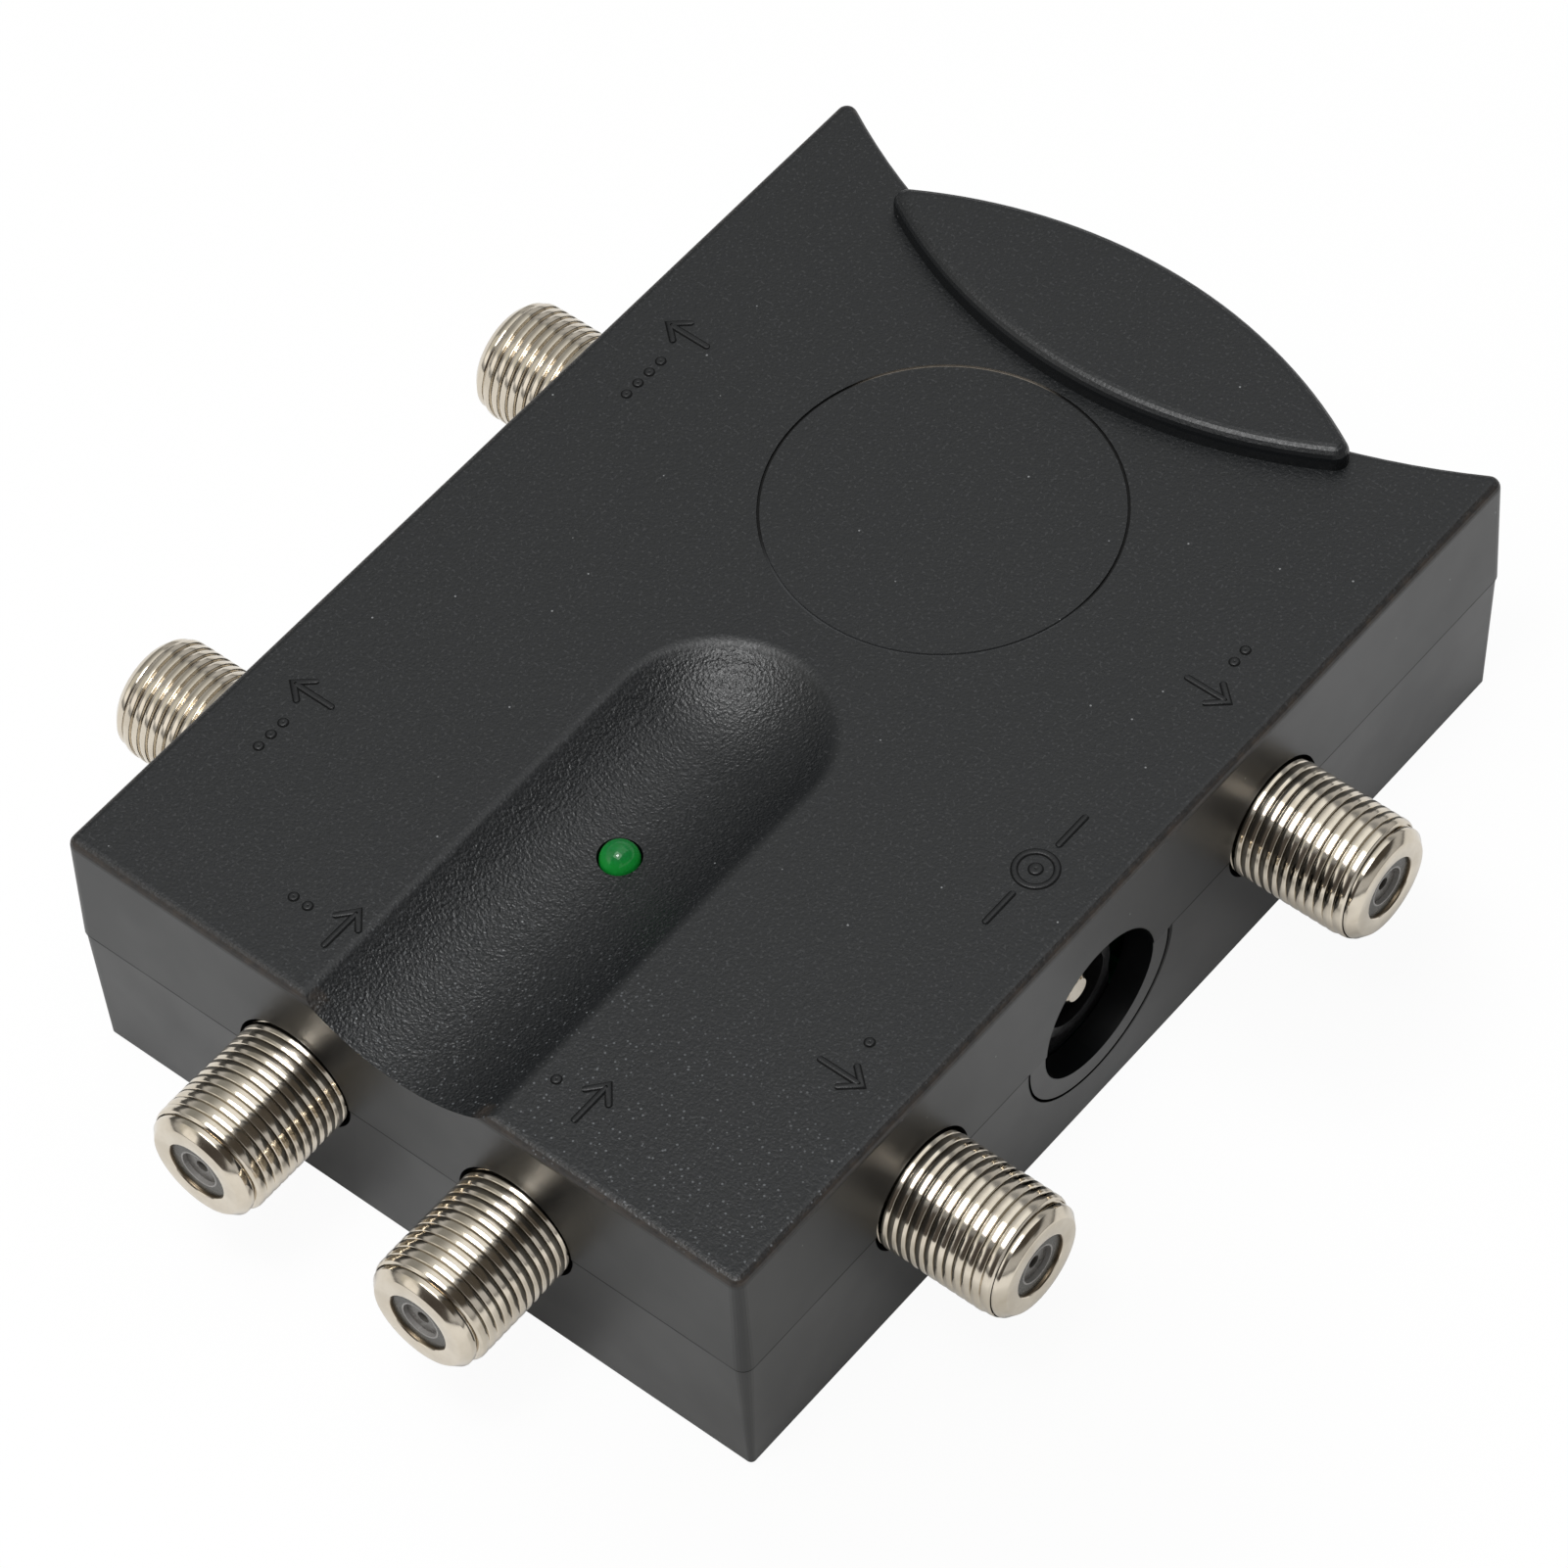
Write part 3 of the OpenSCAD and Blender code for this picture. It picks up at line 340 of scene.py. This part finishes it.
    def bump_grain(self):
        """Coarse grain on what faces up and fine grain all over. Returns the strength of the coarse
        one: most in the channel, more at the front right corner, and least on the flat top."""
        pits = self.cells(self.PIT_SCALE, "SMOOTH_F1")["Distance"]
        coarse = self.math("ADD", self.grain, self.times(pits, self.PIT_SHARE))
        strength = self.span(self.z, *self.BELOW_TOP_Z, self.TOP_STRENGTH, self.SUNK_STRENGTH)
        strength = self.math("ADD", strength, self.times(self.corner, self.CORNER_STRENGTH))
        coarse = self.times(coarse, self.times(self.upward, strength))
        fine = self.times(self.noise(self.FINE_SCALE, 1.0), self.FINE_SHARE)
        self.bump(self.math("ADD", coarse, fine), self.GRAIN_DEPTH)
        return strength

    def seam_shadow(self):
        """Mask of what lies out of the light: the straight seam, left out at the tongue, the curved
        seam under the tongue, and a part of it for the wall of the power window."""
        beside = self.math("SUBTRACT", self.y, (WINDOW_Y + SHIFT_Y) * MM)
        outside = self.span(self.x, *self.RIGHT_WALL_X)
        straight = self.span(self.away(self.z, SEAM_Z * MM), *self.SEAM_HALF)
        tongue = self.times(outside, self.span(self.math("ABSOLUTE", beside), *self.TONGUE_HALF))
        uneven = self.span(self.noise(160, 2.0, 0.6), 0.30, 0.50, 0.65, 1.0)
        straight = self.times(straight, self.math("SUBTRACT", 1.0, tongue), uneven)
        reach = self.length(beside, self.math("SUBTRACT", self.z, WINDOW_Z * MM))
        off = self.away(reach, self.span(beside, *self.CURVE_R))
        off = self.math("SUBTRACT", off, self.span(beside, *self.CURVE_HALF))
        curve = self.times(self.span(off, *self.CURVE_BLUR), outside, self.span(self.z, *self.CURVE_Z))
        seam = self.math("MAXIMUM", straight, curve)
        window = self.times(self.span(reach, *self.WINDOW_R), self.span(self.x, *self.WINDOW_X))
        return self.math("MAXIMUM", seam, self.times(window, self.WINDOW_SHARE))

    def circular_groove(self):
        """Mask and colour of the groove: painted shade at its sides, a painted highlight at the far end,
        and at the near one a painted tone like the lit top's, so that it is hardly seen."""
        across = self.math("SUBTRACT", self.y, (RING_Y + SHIFT_Y) * MM)
        off = self.away(self.length(self.x, across), RING_R * MM)
        groove = self.times(
            self.span(off, *self.GROOVE_HALF), self.span(self.z, *self.GROOVE_Z), self.upper
        )
        to_right = self.math("ADD", self.times(self.x, self.RIGHT_X), self.times(across, self.RIGHT_Y))
        to_far = self.math("SUBTRACT", self.times(across, self.RIGHT_X), self.times(self.x, self.RIGHT_Y))
        to_right = self.times(to_right, 1 / (RING_R * MM))
        to_far = self.times(to_far, 1 / (RING_R * MM))
        far_wall_highlight = self.span(self.math("ADD", to_far, self.times(to_right, self.FAR_HIGHLIGHT_LEAN)), *self.FAR_HIGHLIGHT)
        faint = self.span(self.math("ADD", to_far, self.times(to_right, self.FAINT_LEAN)), *self.FAINT)
        # Painted shade in the groove, with a painted highlight at the far end and a painted tone at the near
        # end
        colour = self.colours(far_wall_highlight, self.GROOVE_SHADE, self.GROOVE_PAINTED_HIGHLIGHT)
        return groove, self.colours(faint, colour, self.GROOVE_FAINT)

    def plastic_colour(self):
        """Clouded black with painted sparkle on the grain, wear and a painted sheen on the upper edge, and
        painted glints at the front right corner.
        """
        # Painted sparkle: light specks on the grain of what faces up
        painted_sparkle = self.span(self.noise(4200, 0.0), 0.66, 0.74)
        colour = self.colours(self.cloud, *self.PLASTIC)
        colour = self.colours(self.times(painted_sparkle, self.times(self.upward, 0.6)), colour, self.GRAIN_PAINTED_SPARKLE)
        # Wear with a painted sheen on the rounded upper edge, on the right and front sides
        edge = self.times(
            self.span(self.z, *self.EDGE_Z),
            self.span(self.facing, *self.OFF_TOP),
            self.span(self.facing, *self.OFF_WALL),
            self.math(
                "MAXIMUM",
                self.span(self.math("ABSOLUTE", self.x), *self.EDGE_X),
                self.span(self.y, *self.EDGE_Y),
            ),
            self.spread(self.noise(1100, 3.0, 0.65), 0.25, 1.0),
        )
        colour = self.colours(edge, colour, self.EDGE_WEAR_AND_SHEEN)
        glints = self.specks(scale=2100, radius=0.22, rarity=0.35)
        glints = self.times(glints, self.times(self.corner, self.upward))
        return self.colours(self.times(glints, 0.8), colour, self.GLINT)


def plate_look(g, tint, rough):
    """Colour and roughness of plated metal under a faint haze, which is darker and warmer."""
    warm = tuple(0.86 * c for c in tint)
    haze = g.span(g.noise(420, 3.0, 0.6), 0.35, 0.7)
    colour = g.colours(haze, tint, (warm[0], warm[1] * 0.985, warm[2] * 0.96))
    return colour, g.spread(g.noise(900, 2.0, 0.6), rough * 0.75, rough * 1.4)


def plated(name, tint, rough):
    """Plated metal with a slightly uneven surface."""
    g = Finish(name, Metallic=1.0)
    colour, dull = plate_look(g, tint, rough)
    g.out("Base Color", colour)
    g.out("Roughness", dull)
    g.bump(g.noise(2600, 1.0), 0.0016)
    return g.material


def port_nickel():
    """Nickel plate with lines turned round the port's axis. The wall of the hole is painted darker
    and warmer as shade, and is duller than the outside."""
    g = Finish("port_nickel", Metallic=1.0)
    colour, dull = plate_look(g, (0.67, 0.608, 0.512), 0.12)
    x, y, _ = g.split(g.point)
    # Painted shade: the wall of the hole is darker, warmer and duller
    hole_shade = g.span(g.length(x, y), (BORE_R + 0.04) * MM, (BORE_R + 0.015) * MM)
    g.out("Base Color", g.colours(hole_shade, colour, (0.16, 0.125, 0.085)))
    g.out("Roughness", g.blend(hole_shade, dull, 0.38))
    g.bump(g.noise(9000, 1.0, stretch=(0.03, 0.03, 1.0)), 0.0022)
    return g.material


def plain_finish(name, light, dark, rough, grain, depth, **sockets):
    """A finish with a clouded colour and a grained surface; grain is its scale per metre, and depth
    is in mm."""
    g = Finish(name, **sockets)
    g.out("Base Color", g.colours(g.spread(g.noise(grain * 0.2, 3.0, 0.6)), dark, light))
    g.out("Roughness", g.spread(g.noise(grain * 0.5), rough * 0.85, rough * 1.15))
    g.bump(g.noise(grain), depth)
    return g.material


def core_plastic():
    """Milky core of a port: dark near the metal, a light ring round the mouth as a painted highlight, greyer
    within it.
    """
    g = Finish("core_plastic", Specular_IOR_Level=0.36)
    # in the core's own box, whose axis lies along X or Y; reach is 1 at the outside
    within = g.split(g.coords["Generated"])
    squares = [g.math("POWER", g.math("SUBTRACT", within[axis], 0.5), 2.0) for axis in "XYZ"]
    reach = g.math("SQRT", g.math("ADD", g.math("MINIMUM", squares[0], squares[1]), squares[2]))
    reach = g.times(reach, 2.0)
    cloud = g.spread(g.noise(700, 3.0, 0.6))
    ring = g.colours(cloud, (0.042, 0.039, 0.032), (0.056, 0.052, 0.043))
    mouth = g.colours(cloud, (0.105, 0.099, 0.091), (0.140, 0.131, 0.121))
    colour = g.colours(g.span(reach, 0.64, 0.61), ring, mouth)
    # Painted highlight: a light ring round the mouth
    rim_highlight = g.times(g.span(reach, 0.60, 0.62), g.span(reach, 0.68, 0.65))
    g.out("Base Color", g.colours(rim_highlight, colour, (0.26, 0.25, 0.24)))
    g.out("Roughness", g.spread(g.noise(1500), 0.24, 0.32))
    g.bump(g.noise(1500), 0.003)
    return g.material


def lamp_green():
    """Tinted clear lens, lighter low down where the light gathers."""
    g = Finish(
        "lamp_green", Roughness=0.07, IOR=1.5, Specular_IOR_Level=0.34,
        Subsurface_Weight=0.35, Subsurface_Scale=0.0012, Subsurface_Radius=(0.15, 1.0, 0.25),
    )
    low = g.span(g.split(g.coords["Normal"])["Z"], 0.97, 0.35)
    deep = g.colours(g.noise(900), (0.005, 0.125, 0.026), (0.008, 0.150, 0.034))
    g.out("Base Color", g.colours(low, deep, (0.008, 0.250, 0.034)))
    return g.material


def board_green():
    """Solder mask over copper tracks."""
    g = Finish("board_green", Roughness=0.28, Coat_Weight=0.3)
    tracks = g.node(
        "ShaderNodeTexBrick",
        {"Vector": g.point, "Scale": 160.0, "Mortar Size": 0.035, "Brick Width": 0.9, "Row Height": 0.32},
    ).outputs["Fac"]
    mask = g.colours(g.noise(300), (0.006, 0.075, 0.030), (0.009, 0.095, 0.038))
    g.out("Base Color", g.colours(tracks, mask, (0.025, 0.19, 0.070)))
    g.bump(tracks, 0.03)
    return g.material


def marks_plastic():
    """The housing's plastic on the raised signs, a little smoother where fingers touch them, with
    painted shade at their foot."""
    g = Finish("marks_plastic")
    # Painted shade round the foot of each stroke
    foot = g.span(g.split(g.point)["Z"], (TOP_Z + 0.05) * MM, (TOP_Z + 0.02) * MM)
    colour = g.colours(g.noise(900), (0.0032, 0.0039, 0.0047), (0.0048, 0.0054, 0.0062))
    g.out("Base Color", g.colours(foot, colour, HousingPlastic.SHADOW))
    g.out("Specular IOR Level", g.blend(foot, 0.42, 0.14))
    g.out("Roughness", g.spread(g.noise(4300, 1.5, 0.6), 0.38, 0.48))
    g.bump(g.noise(4300, 1.5, 0.55), 0.016)
    return g.material


def make_materials():
    """Materials by the record's slot, and the one of the raised signs."""
    return {
        "housing": HousingPlastic().material,
        "marks": marks_plastic(),
        "port_metal": port_nickel(),
        "port_block": plain_finish(
            "cast_zinc", (0.52, 0.51, 0.49), (0.38, 0.37, 0.36), 0.45, 2200, 0.02, Metallic=1.0
        ),
        "port_core": core_plastic(),
        "contact_metal": plated("contact_brass", (0.62, 0.45, 0.20), 0.18),
        "socket_plastic": plain_finish(
            "socket_plastic", (0.013, 0.013, 0.014), (0.009, 0.009, 0.0095), 0.22, 2500, 0.003
        ),
        "lamp": lamp_green(),
        "screw": plated("screw_zinc", (0.52, 0.53, 0.55), 0.26),
        "board": board_green(),
        "tinned": plated("tinned_sheet", (0.66, 0.65, 0.62), 0.22),
        "chip": plain_finish(
            "chip_epoxy", (0.020, 0.020, 0.021), (0.012, 0.012, 0.013), 0.48, 3500, 0.008
        ),
        "capacitor": plain_finish(
            "capacitor_sleeve", (0.012, 0.016, 0.060), (0.008, 0.010, 0.040), 0.3, 900, 0.006
        ),
        "ferrite": plain_finish(
            "ferrite", (0.050, 0.047, 0.045), (0.030, 0.028, 0.027), 0.6, 2600, 0.02
        ),
        "copper_wire": plated("enamelled_wire", (0.48, 0.17, 0.06), 0.2),
        "chip_ceramic": plain_finish(
            "chip_ceramic", (0.36, 0.29, 0.21), (0.26, 0.20, 0.14), 0.4, 2600, 0.008
        ),
    }


def dress_nodes(materials):
    """Gives each CAD node the material of its slot, whose name Blender may have numbered."""
    for node in frame["nodes"].values():
        for holder in node.material_slots:
            holder.material = materials[holder.material.name.split(".")[0]]


# Meshes

def add_object(name, bm, material, sharp, matrix=None):
    """Makes a piece of a bmesh. Edges sharper than sharp, in degrees, stay edges."""
    mesh = bpy.data.meshes.new(name)
    bmesh.ops.recalc_face_normals(bm, faces=bm.faces)
    for face in bm.faces:
        face.smooth = True
    bm.to_mesh(mesh)
    bm.free()
    mesh.set_sharp_from_angle(angle=math.radians(sharp))
    mesh.materials.append(material)
    obj = bpy.data.objects.new(name, mesh)
    scene.collection.objects.link(obj)
    if matrix is not None:
        obj.matrix_world = matrix
    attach(obj, "root")
    return obj


def join_rows(bm, rows, closed):
    """Skins rows of points, each a closed line round; the last row joins the first one, or both
    ends get a cap."""
    count = len(rows[0])
    for i, row in enumerate(rows if closed else rows[:-1]):
        following = rows[(i + 1) % len(rows)]
        for k in range(count):
            n = (k + 1) % count
            bm.faces.new((row[k], row[n], following[n], following[k]))
    if not closed:
        bm.faces.new(rows[0])
        bm.faces.new(list(reversed(rows[-1])))


def polar(radius, angle, height):
    """A point round the Z axis in metres, from mm."""
    return (radius * math.cos(angle) * MM, radius * math.sin(angle) * MM, height * MM)


# Ports

BARREL_SEGMENTS = 96
BARREL_SHARP = 32
# Closed outline of a barrel as (radius, way outwards), in mm
BARREL_PROFILE = [
    (2.45, -9.0), (3.9, -9.0), (3.9, -2.8), (4.6, -2.8), (4.6, -1.75), (4.55, -1.5),
    (4.55, 8.95), (4.28, 9.06), (4.26, 9.16), (4.38, 9.20), (4.43, 9.24), (4.45, 9.31),
    (4.45, 9.66), (4.42, 9.73), (3.92, 10.23), (3.86, 10.28), (3.78, 10.3),
    (2.62, 10.3), (2.55, 10.28), (2.47, 10.19), (2.45, 10.12),
]

THREAD_SEGMENTS = 72
THREAD_PITCH = 25.4 / 32
THREAD_START = -1.3
THREAD_END = 8.85
THREAD_FADE = 0.4  # share of a turn over which the ridge rises and falls at the thread's ends
# One ridge, from its hidden flank over the flat crest and the sloped side to the notch, as
# (way outwards, radius); the first radius is the foot, below the barrel's surface
RIDGE = [
    (0.0, 4.53), (0.0, 4.55), (0.035, 4.67), (0.05, 4.73), (0.065, 4.750), (0.09, 4.756), (0.25, 4.755),
    (0.405, 4.756), (0.425, 4.752), (0.45, 4.743), (0.52, 4.723), (0.60, 4.699), (0.635, 4.687),
    (0.655, 4.670), (0.70, 4.617), (0.735, 4.573), (0.755, 4.555), (0.794, 4.53),
]


def barrel(bm):
    angles = [2 * math.pi * k / BARREL_SEGMENTS for k in range(BARREL_SEGMENTS)]
    rings = [[bm.verts.new(polar(r, a, z)) for a in angles] for r, z in BARREL_PROFILE]
    join_rows(bm, rings, closed=True)


def thread(bm):
    """Winds the ridge round the barrel."""
    foot = RIDGE[0][1]
    steps = int((THREAD_END - THREAD_START) / THREAD_PITCH * THREAD_SEGMENTS)
    fade_steps = THREAD_SEGMENTS * THREAD_FADE
    rows = []
    for i in range(steps + 1):
        angle = 2 * math.pi * i / THREAD_SEGMENTS
        z = THREAD_START + THREAD_PITCH * i / THREAD_SEGMENTS
        fade = min(1.0, i / fade_steps, (steps - i) / fade_steps)
        rows.append([bm.verts.new(polar(foot + (r - foot) * fade, angle, z + d)) for d, r in RIDGE])
    join_rows(bm, rows, closed=False)


def threaded_barrels(material):
    """A barrel with its thread in place of each plain one, made about Z and turned outwards."""
    for name, (x, y, turn) in PORTS.items():
        bm = bmesh.new()
        barrel(bm)
        thread(bm)
        outward = Matrix.Rotation(math.radians(turn), 4, "Z") @ Matrix.Rotation(math.radians(90), 4, "X")
        matrix = Matrix.Translation(place(x, y, SEAM_Z)) @ outward
        obj = add_object(f"{name}_barrel_threaded", bm, material, BARREL_SHARP, matrix)
        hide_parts(f"{name}_barrel")


# Raised signs on the top, in mm

SIGN_SHARP = 50
SIGN_X = 24.9
PORT_SIGNS = {  # middle, the way the arrow points, and the number of dots
    "in1": ((11.5, 5.6), (0, 1), 1),
    "in2": ((-11.5, 6.2), (0, 1), 2),
    "out1": ((SIGN_X, 19.4), (1, 0), 1),
    "out2": ((SIGN_X, 60.4), (1, 0), 2),
    "out3": ((-SIGN_X, 18.6), (-1, 0), 3),
    "out4": ((-SIGN_X, 60.2), (-1, 0), 4),
}
ARROW_ASIDE = 1.6  # from the sign's middle to the arrow's
ARROW_LENGTH = 3.6
ARROW_HEAD = 1.25
ARROW_SPREAD = 0.85  # half width of the head as a share of its length
SHAFT_GAP = 0.32  # from the tip to the shaft's end
DOT_ASIDE = 1.5
DOT_PITCH = 1.3
DOT_WIDTH = 0.36
DOT_POINTS = 20
POWER_RING_R = 1.5
POWER_RING_POINTS = 40
POWER_DOT_WIDTH = 0.5
POWER_STROKES = ((33.6, 36.6), (41.8, 44.8))

STROKE_WIDTH = 0.42
STROKE_HEIGHT = 0.12
STROKE_FOOT = 0.07  # flat foot beside the stroke
# Rows of the section at the rounded start, along, and at the rounded end of a stroke: the way along
# it as a share of half its width, and the row's width as a share of the full one
STROKE_START = [(-0.9, 0.55), (-0.5, 0.87), (0.0, 1.0)]
STROKE_MIDDLE = [(0.0, 1.0)]
STROKE_END = [(0.0, 1.0), (0.5, 0.87), (0.9, 0.55)]


def stroke_section(half):
    """Section of a stroke as (way to the side, height over the top)."""
    foot, high = half + STROKE_FOOT, STROKE_HEIGHT
    left = [(-foot, -0.05), (-foot, 0.008), (-half, 0.012), (-half + 0.03, 0.75 * high), (-half + 0.09, high)]
    return left + [(-side, z) for side, z in reversed(left)]


def stroke(bm, points, closed=False, width=STROKE_WIDTH):
    """Raised line with rounded shoulders along points of the top."""
    half = width / 2
    section = stroke_section(half)
    points = [Vector(p) for p in points]
    count = len(points)
    rows = []
    for i, p in enumerate(points):
        before = points[i - 1] if closed or i > 0 else None
        after = points[(i + 1) % count] if closed or i < count - 1 else None
        ahead_in = (p - before if before is not None else after - p).normalized()
        ahead_out = (after - p).normalized() if after is not None else ahead_in
        side_in = Vector((-ahead_in.y, ahead_in.x))
        side_out = Vector((-ahead_out.y, ahead_out.x))
        side = (side_in + side_out).normalized()
        side /= max(0.5, side.dot(side_in))
        if before is None:
            sections = STROKE_START
        elif after is None:
            sections = STROKE_END
        else:
            sections = STROKE_MIDDLE
        for along, narrow in sections:
            middle = p + ahead_out * (half * along)
            rows.append([(middle + side * s * narrow, z) for s, z in section])
    rows = [[bm.verts.new(place(q.x, q.y, TOP_Z + z)) for q, z in row] for row in rows]
    join_rows(bm, rows, closed)


def circle_points(middle, radius, count):
    angles = [2 * math.pi * k / count for k in range(count)]
    return [(middle[0] + radius * math.cos(a), middle[1] + radius * math.sin(a)) for a in angles]


def dot(bm, middle, width=DOT_WIDTH):
    stroke(bm, circle_points(middle, width / 2, DOT_POINTS), closed=True, width=width)


def arrow(bm, middle, direction):
    d = direction.normalized()
    side = Vector((-d.y, d.x))
    tip = middle + d * ARROW_LENGTH / 2
    spread = side * ARROW_HEAD * ARROW_SPREAD
    stroke(bm, [middle - d * ARROW_LENGTH / 2, tip - d * SHAFT_GAP])
    stroke(bm, [tip - d * ARROW_HEAD + spread, tip, tip - d * ARROW_HEAD - spread])


def raised_signs(material):
    """Arrows and counting dots at the ports, and a ring with a dot and two strokes at the power
    window."""
    for name, (middle, away, dots) in PORT_SIGNS.items():
        bm = bmesh.new()
        along = Vector((-away[1], away[0]))
        arrow(bm, Vector(middle) - along * ARROW_ASIDE, Vector(away))
        for k in range(dots):
            dot(bm, Vector(middle) + along * (DOT_ASIDE + DOT_PITCH * k))
        add_object(f"{name}_sign", bm, material, SIGN_SHARP)
    bm = bmesh.new()
    stroke(bm, circle_points((SIGN_X, WINDOW_Y), POWER_RING_R, POWER_RING_POINTS), closed=True)
    dot(bm, (SIGN_X, WINDOW_Y), POWER_DOT_WIDTH)
    for start, end in POWER_STROKES:
        stroke(bm, [(SIGN_X, start), (SIGN_X, end)])
    add_object("power_sign", bm, material, SIGN_SHARP)


# Studio

FLOOR_SIDE = 3.0
FLOOR_Z = -0.0001  # just below the object's bottom face
PAPER = (0.85, 0.85, 0.85)
# Spots of the floor where less light falls, beside the near right corner and under the far right
# port: middle, the radii where the spot is full and where it ends, and its tone
PAPER_SPOTS = [
    (place(42.0, 8.0, 0.0), 0.008, 0.044, (0.56, 0.555, 0.54)),
    (place(37.5, 58.0, 0.0), 0.004, 0.017, (0.40, 0.395, 0.385)),
]
# How much of the floor is plain white to each kind of ray: most for the camera, and a part for
# glossy and transmission rays, so that metal and glass show the white and the object's shadow on it
WHITE_SHARES = [("Is Camera Ray", 0.95), ("Is Glossy Ray", 0.15), ("Is Transmission Ray", 0.15)]

# Light of the room over the direction in which a ray leaves. Each patch is painted over those
# before it: edges as (axis, where the patch is empty, where it is full), and a colour
ROOM = (0.28, 0.28, 0.28)
PANEL = [("X", -0.90, -0.78), ("X", 0.34, 0.28), ("Y", -0.24, -0.16), ("Y", 0.74, 0.64), ("Z", 0.25, 0.40)]
ROOM_PATCHES = {
    "walls": ([("Z", 0.03, 0.16)], (0.58, 0.58, 0.58)),
    "ceiling": ([("Z", 0.42, 0.58)], (0.32, 0.325, 0.335)),
    "dark left": ([("X", -0.70, -0.82), ("Y", -0.50, -0.35), ("Z", 0.35, 0.22)], (0.09, 0.09, 0.09)),
    "dark rear": ([("X", 0.25, 0.40), ("Y", 0.20, 0.38), ("Z", 0.33, 0.44)], (0.045, 0.045, 0.046)),
    "dark front": (
        [("X", -0.30, -0.22), ("X", 0.62, 0.50), ("Y", -0.50, -0.62), ("Z", 0.74, 0.64)],
        (0.085, 0.075, 0.068),
    ),
    "dark right": ([("X", 0.40, 0.50), ("Y", -0.55, -0.42), ("Z", 0.40, 0.52)], (0.080, 0.070, 0.058)),
    "pale side": (
        [("X", -0.84, -0.72), ("X", -0.30, -0.40), ("Y", -0.95, -0.85), ("Y", 0.0, -0.14), ("Z", 0.16, 0.30)],
        (0.78, 0.77, 0.71),
    ),
    "low window": (
        [("X", -0.70, -0.62), ("X", -0.26, -0.34), ("Y", -0.55, -0.68), ("Z", 0.16, 0.24), ("Z", 0.62, 0.52)],
        (1.22, 1.20, 1.17),
    ),
    "panel's dim left": (PANEL, (0.33, 0.33, 0.315)),
    "panel": ([*PANEL, ("X", -0.70, -0.10)], (1.17, 1.18, 1.17)),
}

# Soft boxes overhead: distance, width and depth in metres, and radiance. They face a point in the
# middle of the object
LAMP_TARGET = (0, 0, 0.01)
OVERHEAD = (0.02, -0.30, 0.954)
OVERHEAD_BOXES = {"overhead_box": (0.9, 0.62, 0.55, 3.4), "overhead_core": (0.88, 0.19, 0.16, 25.0)}


def make_floor():
    bm = bmesh.new()
    for x, y in ((-1, -1), (1, -1), (1, 1), (-1, 1)):
        bm.verts.new((x * FLOOR_SIDE, y * FLOOR_SIDE, FLOOR_Z))
    bm.faces.new(list(bm.verts))
    mesh = bpy.data.meshes.new("floor")
    bm.to_mesh(mesh)
    bm.free()
    mesh.materials.append(floor_paper())
    floor = bpy.data.objects.new("floor", mesh)
    scene.collection.objects.link(floor)


def floor_paper():
    """White paper that keeps the object's shadow."""
    material = bpy.data.materials.new("floor_paper")
    material.use_nodes = True
    material.node_tree.nodes.clear()
    g = Tree(material.node_tree)
    point = g.node("ShaderNodeTexCoord").outputs["Object"]
    tone = PAPER
    for middle, inner, outer, colour in PAPER_SPOTS:
        away = g.node("ShaderNodeVectorMath", {0: point, 1: middle}, operation="DISTANCE").outputs["Value"]
        tone = g.colours(g.span(away, outer, inner), tone, colour)
    path = g.node("ShaderNodeLightPath").outputs
    share = None
    for ray, ray_share in WHITE_SHARES:
        part = g.times(path[ray], ray_share)
        share = part if share is None else g.math("MAXIMUM", share, part)
    paper = g.node("ShaderNodeBsdfDiffuse", {"Color": tone}).outputs[0]
    white = g.node("ShaderNodeEmission", {"Color": WHITE, "Strength": 1.0}).outputs[0]
    g.node("ShaderNodeOutputMaterial", {"Surface": g.mix_shaders(share, paper, white)})
    return material


def make_world():
    """Dim room with a wide pale panel over the left and rear; the camera sees it plain white."""
    world = bpy.data.worlds.new("studio")
    world.use_nodes = True
    world.node_tree.nodes.clear()
    scene.world = world
    g = Tree(world.node_tree)
    direction = g.split(g.node("ShaderNodeTexCoord").outputs["Generated"])
    colour = ROOM
    for edges, patch in ROOM_PATCHES.values():
        mask = g.times(*[g.span(direction[axis], empty, full) for axis, empty, full in edges])
        colour = g.colours(mask, colour, patch)
    room = g.node("ShaderNodeBackground", {"Color": colour}).outputs[0]
    white = g.node("ShaderNodeBackground", {"Color": WHITE}).outputs[0]
    camera_ray = g.node("ShaderNodeLightPath").outputs["Is Camera Ray"]
    g.node("ShaderNodeOutputWorld", {"Surface": g.mix_shaders(camera_ray, room, white)})


def make_lamp(name, towards, distance, width, depth, radiance):
    """Rectangular soft box that faces the object from a direction."""
    data = bpy.data.lights.new(name, "AREA")
    data.shape = "RECTANGLE"
    data.size = width
    data.size_y = depth
    data.energy = radiance * math.pi * width * depth
    lamp = bpy.data.objects.new(name, data)
    direction = Vector(towards).normalized()
    up = direction.cross(Vector((1, 0, 0))).normalized()
    right = up.cross(direction)
    lamp.matrix_world = (
        Matrix.Translation(Vector(LAMP_TARGET) + direction * distance)
        @ Matrix((right, up, direction)).transposed().to_4x4()
    )
    scene.collection.objects.link(lamp)


scene.view_settings.view_transform = "Standard"
make_camera()
materials = make_materials()
dress_nodes(materials)
threaded_barrels(materials["port_metal"])
raised_signs(materials["marks"])
make_floor()
make_world()
for name, box in OVERHEAD_BOXES.items():
    make_lamp(name, OVERHEAD, *box)
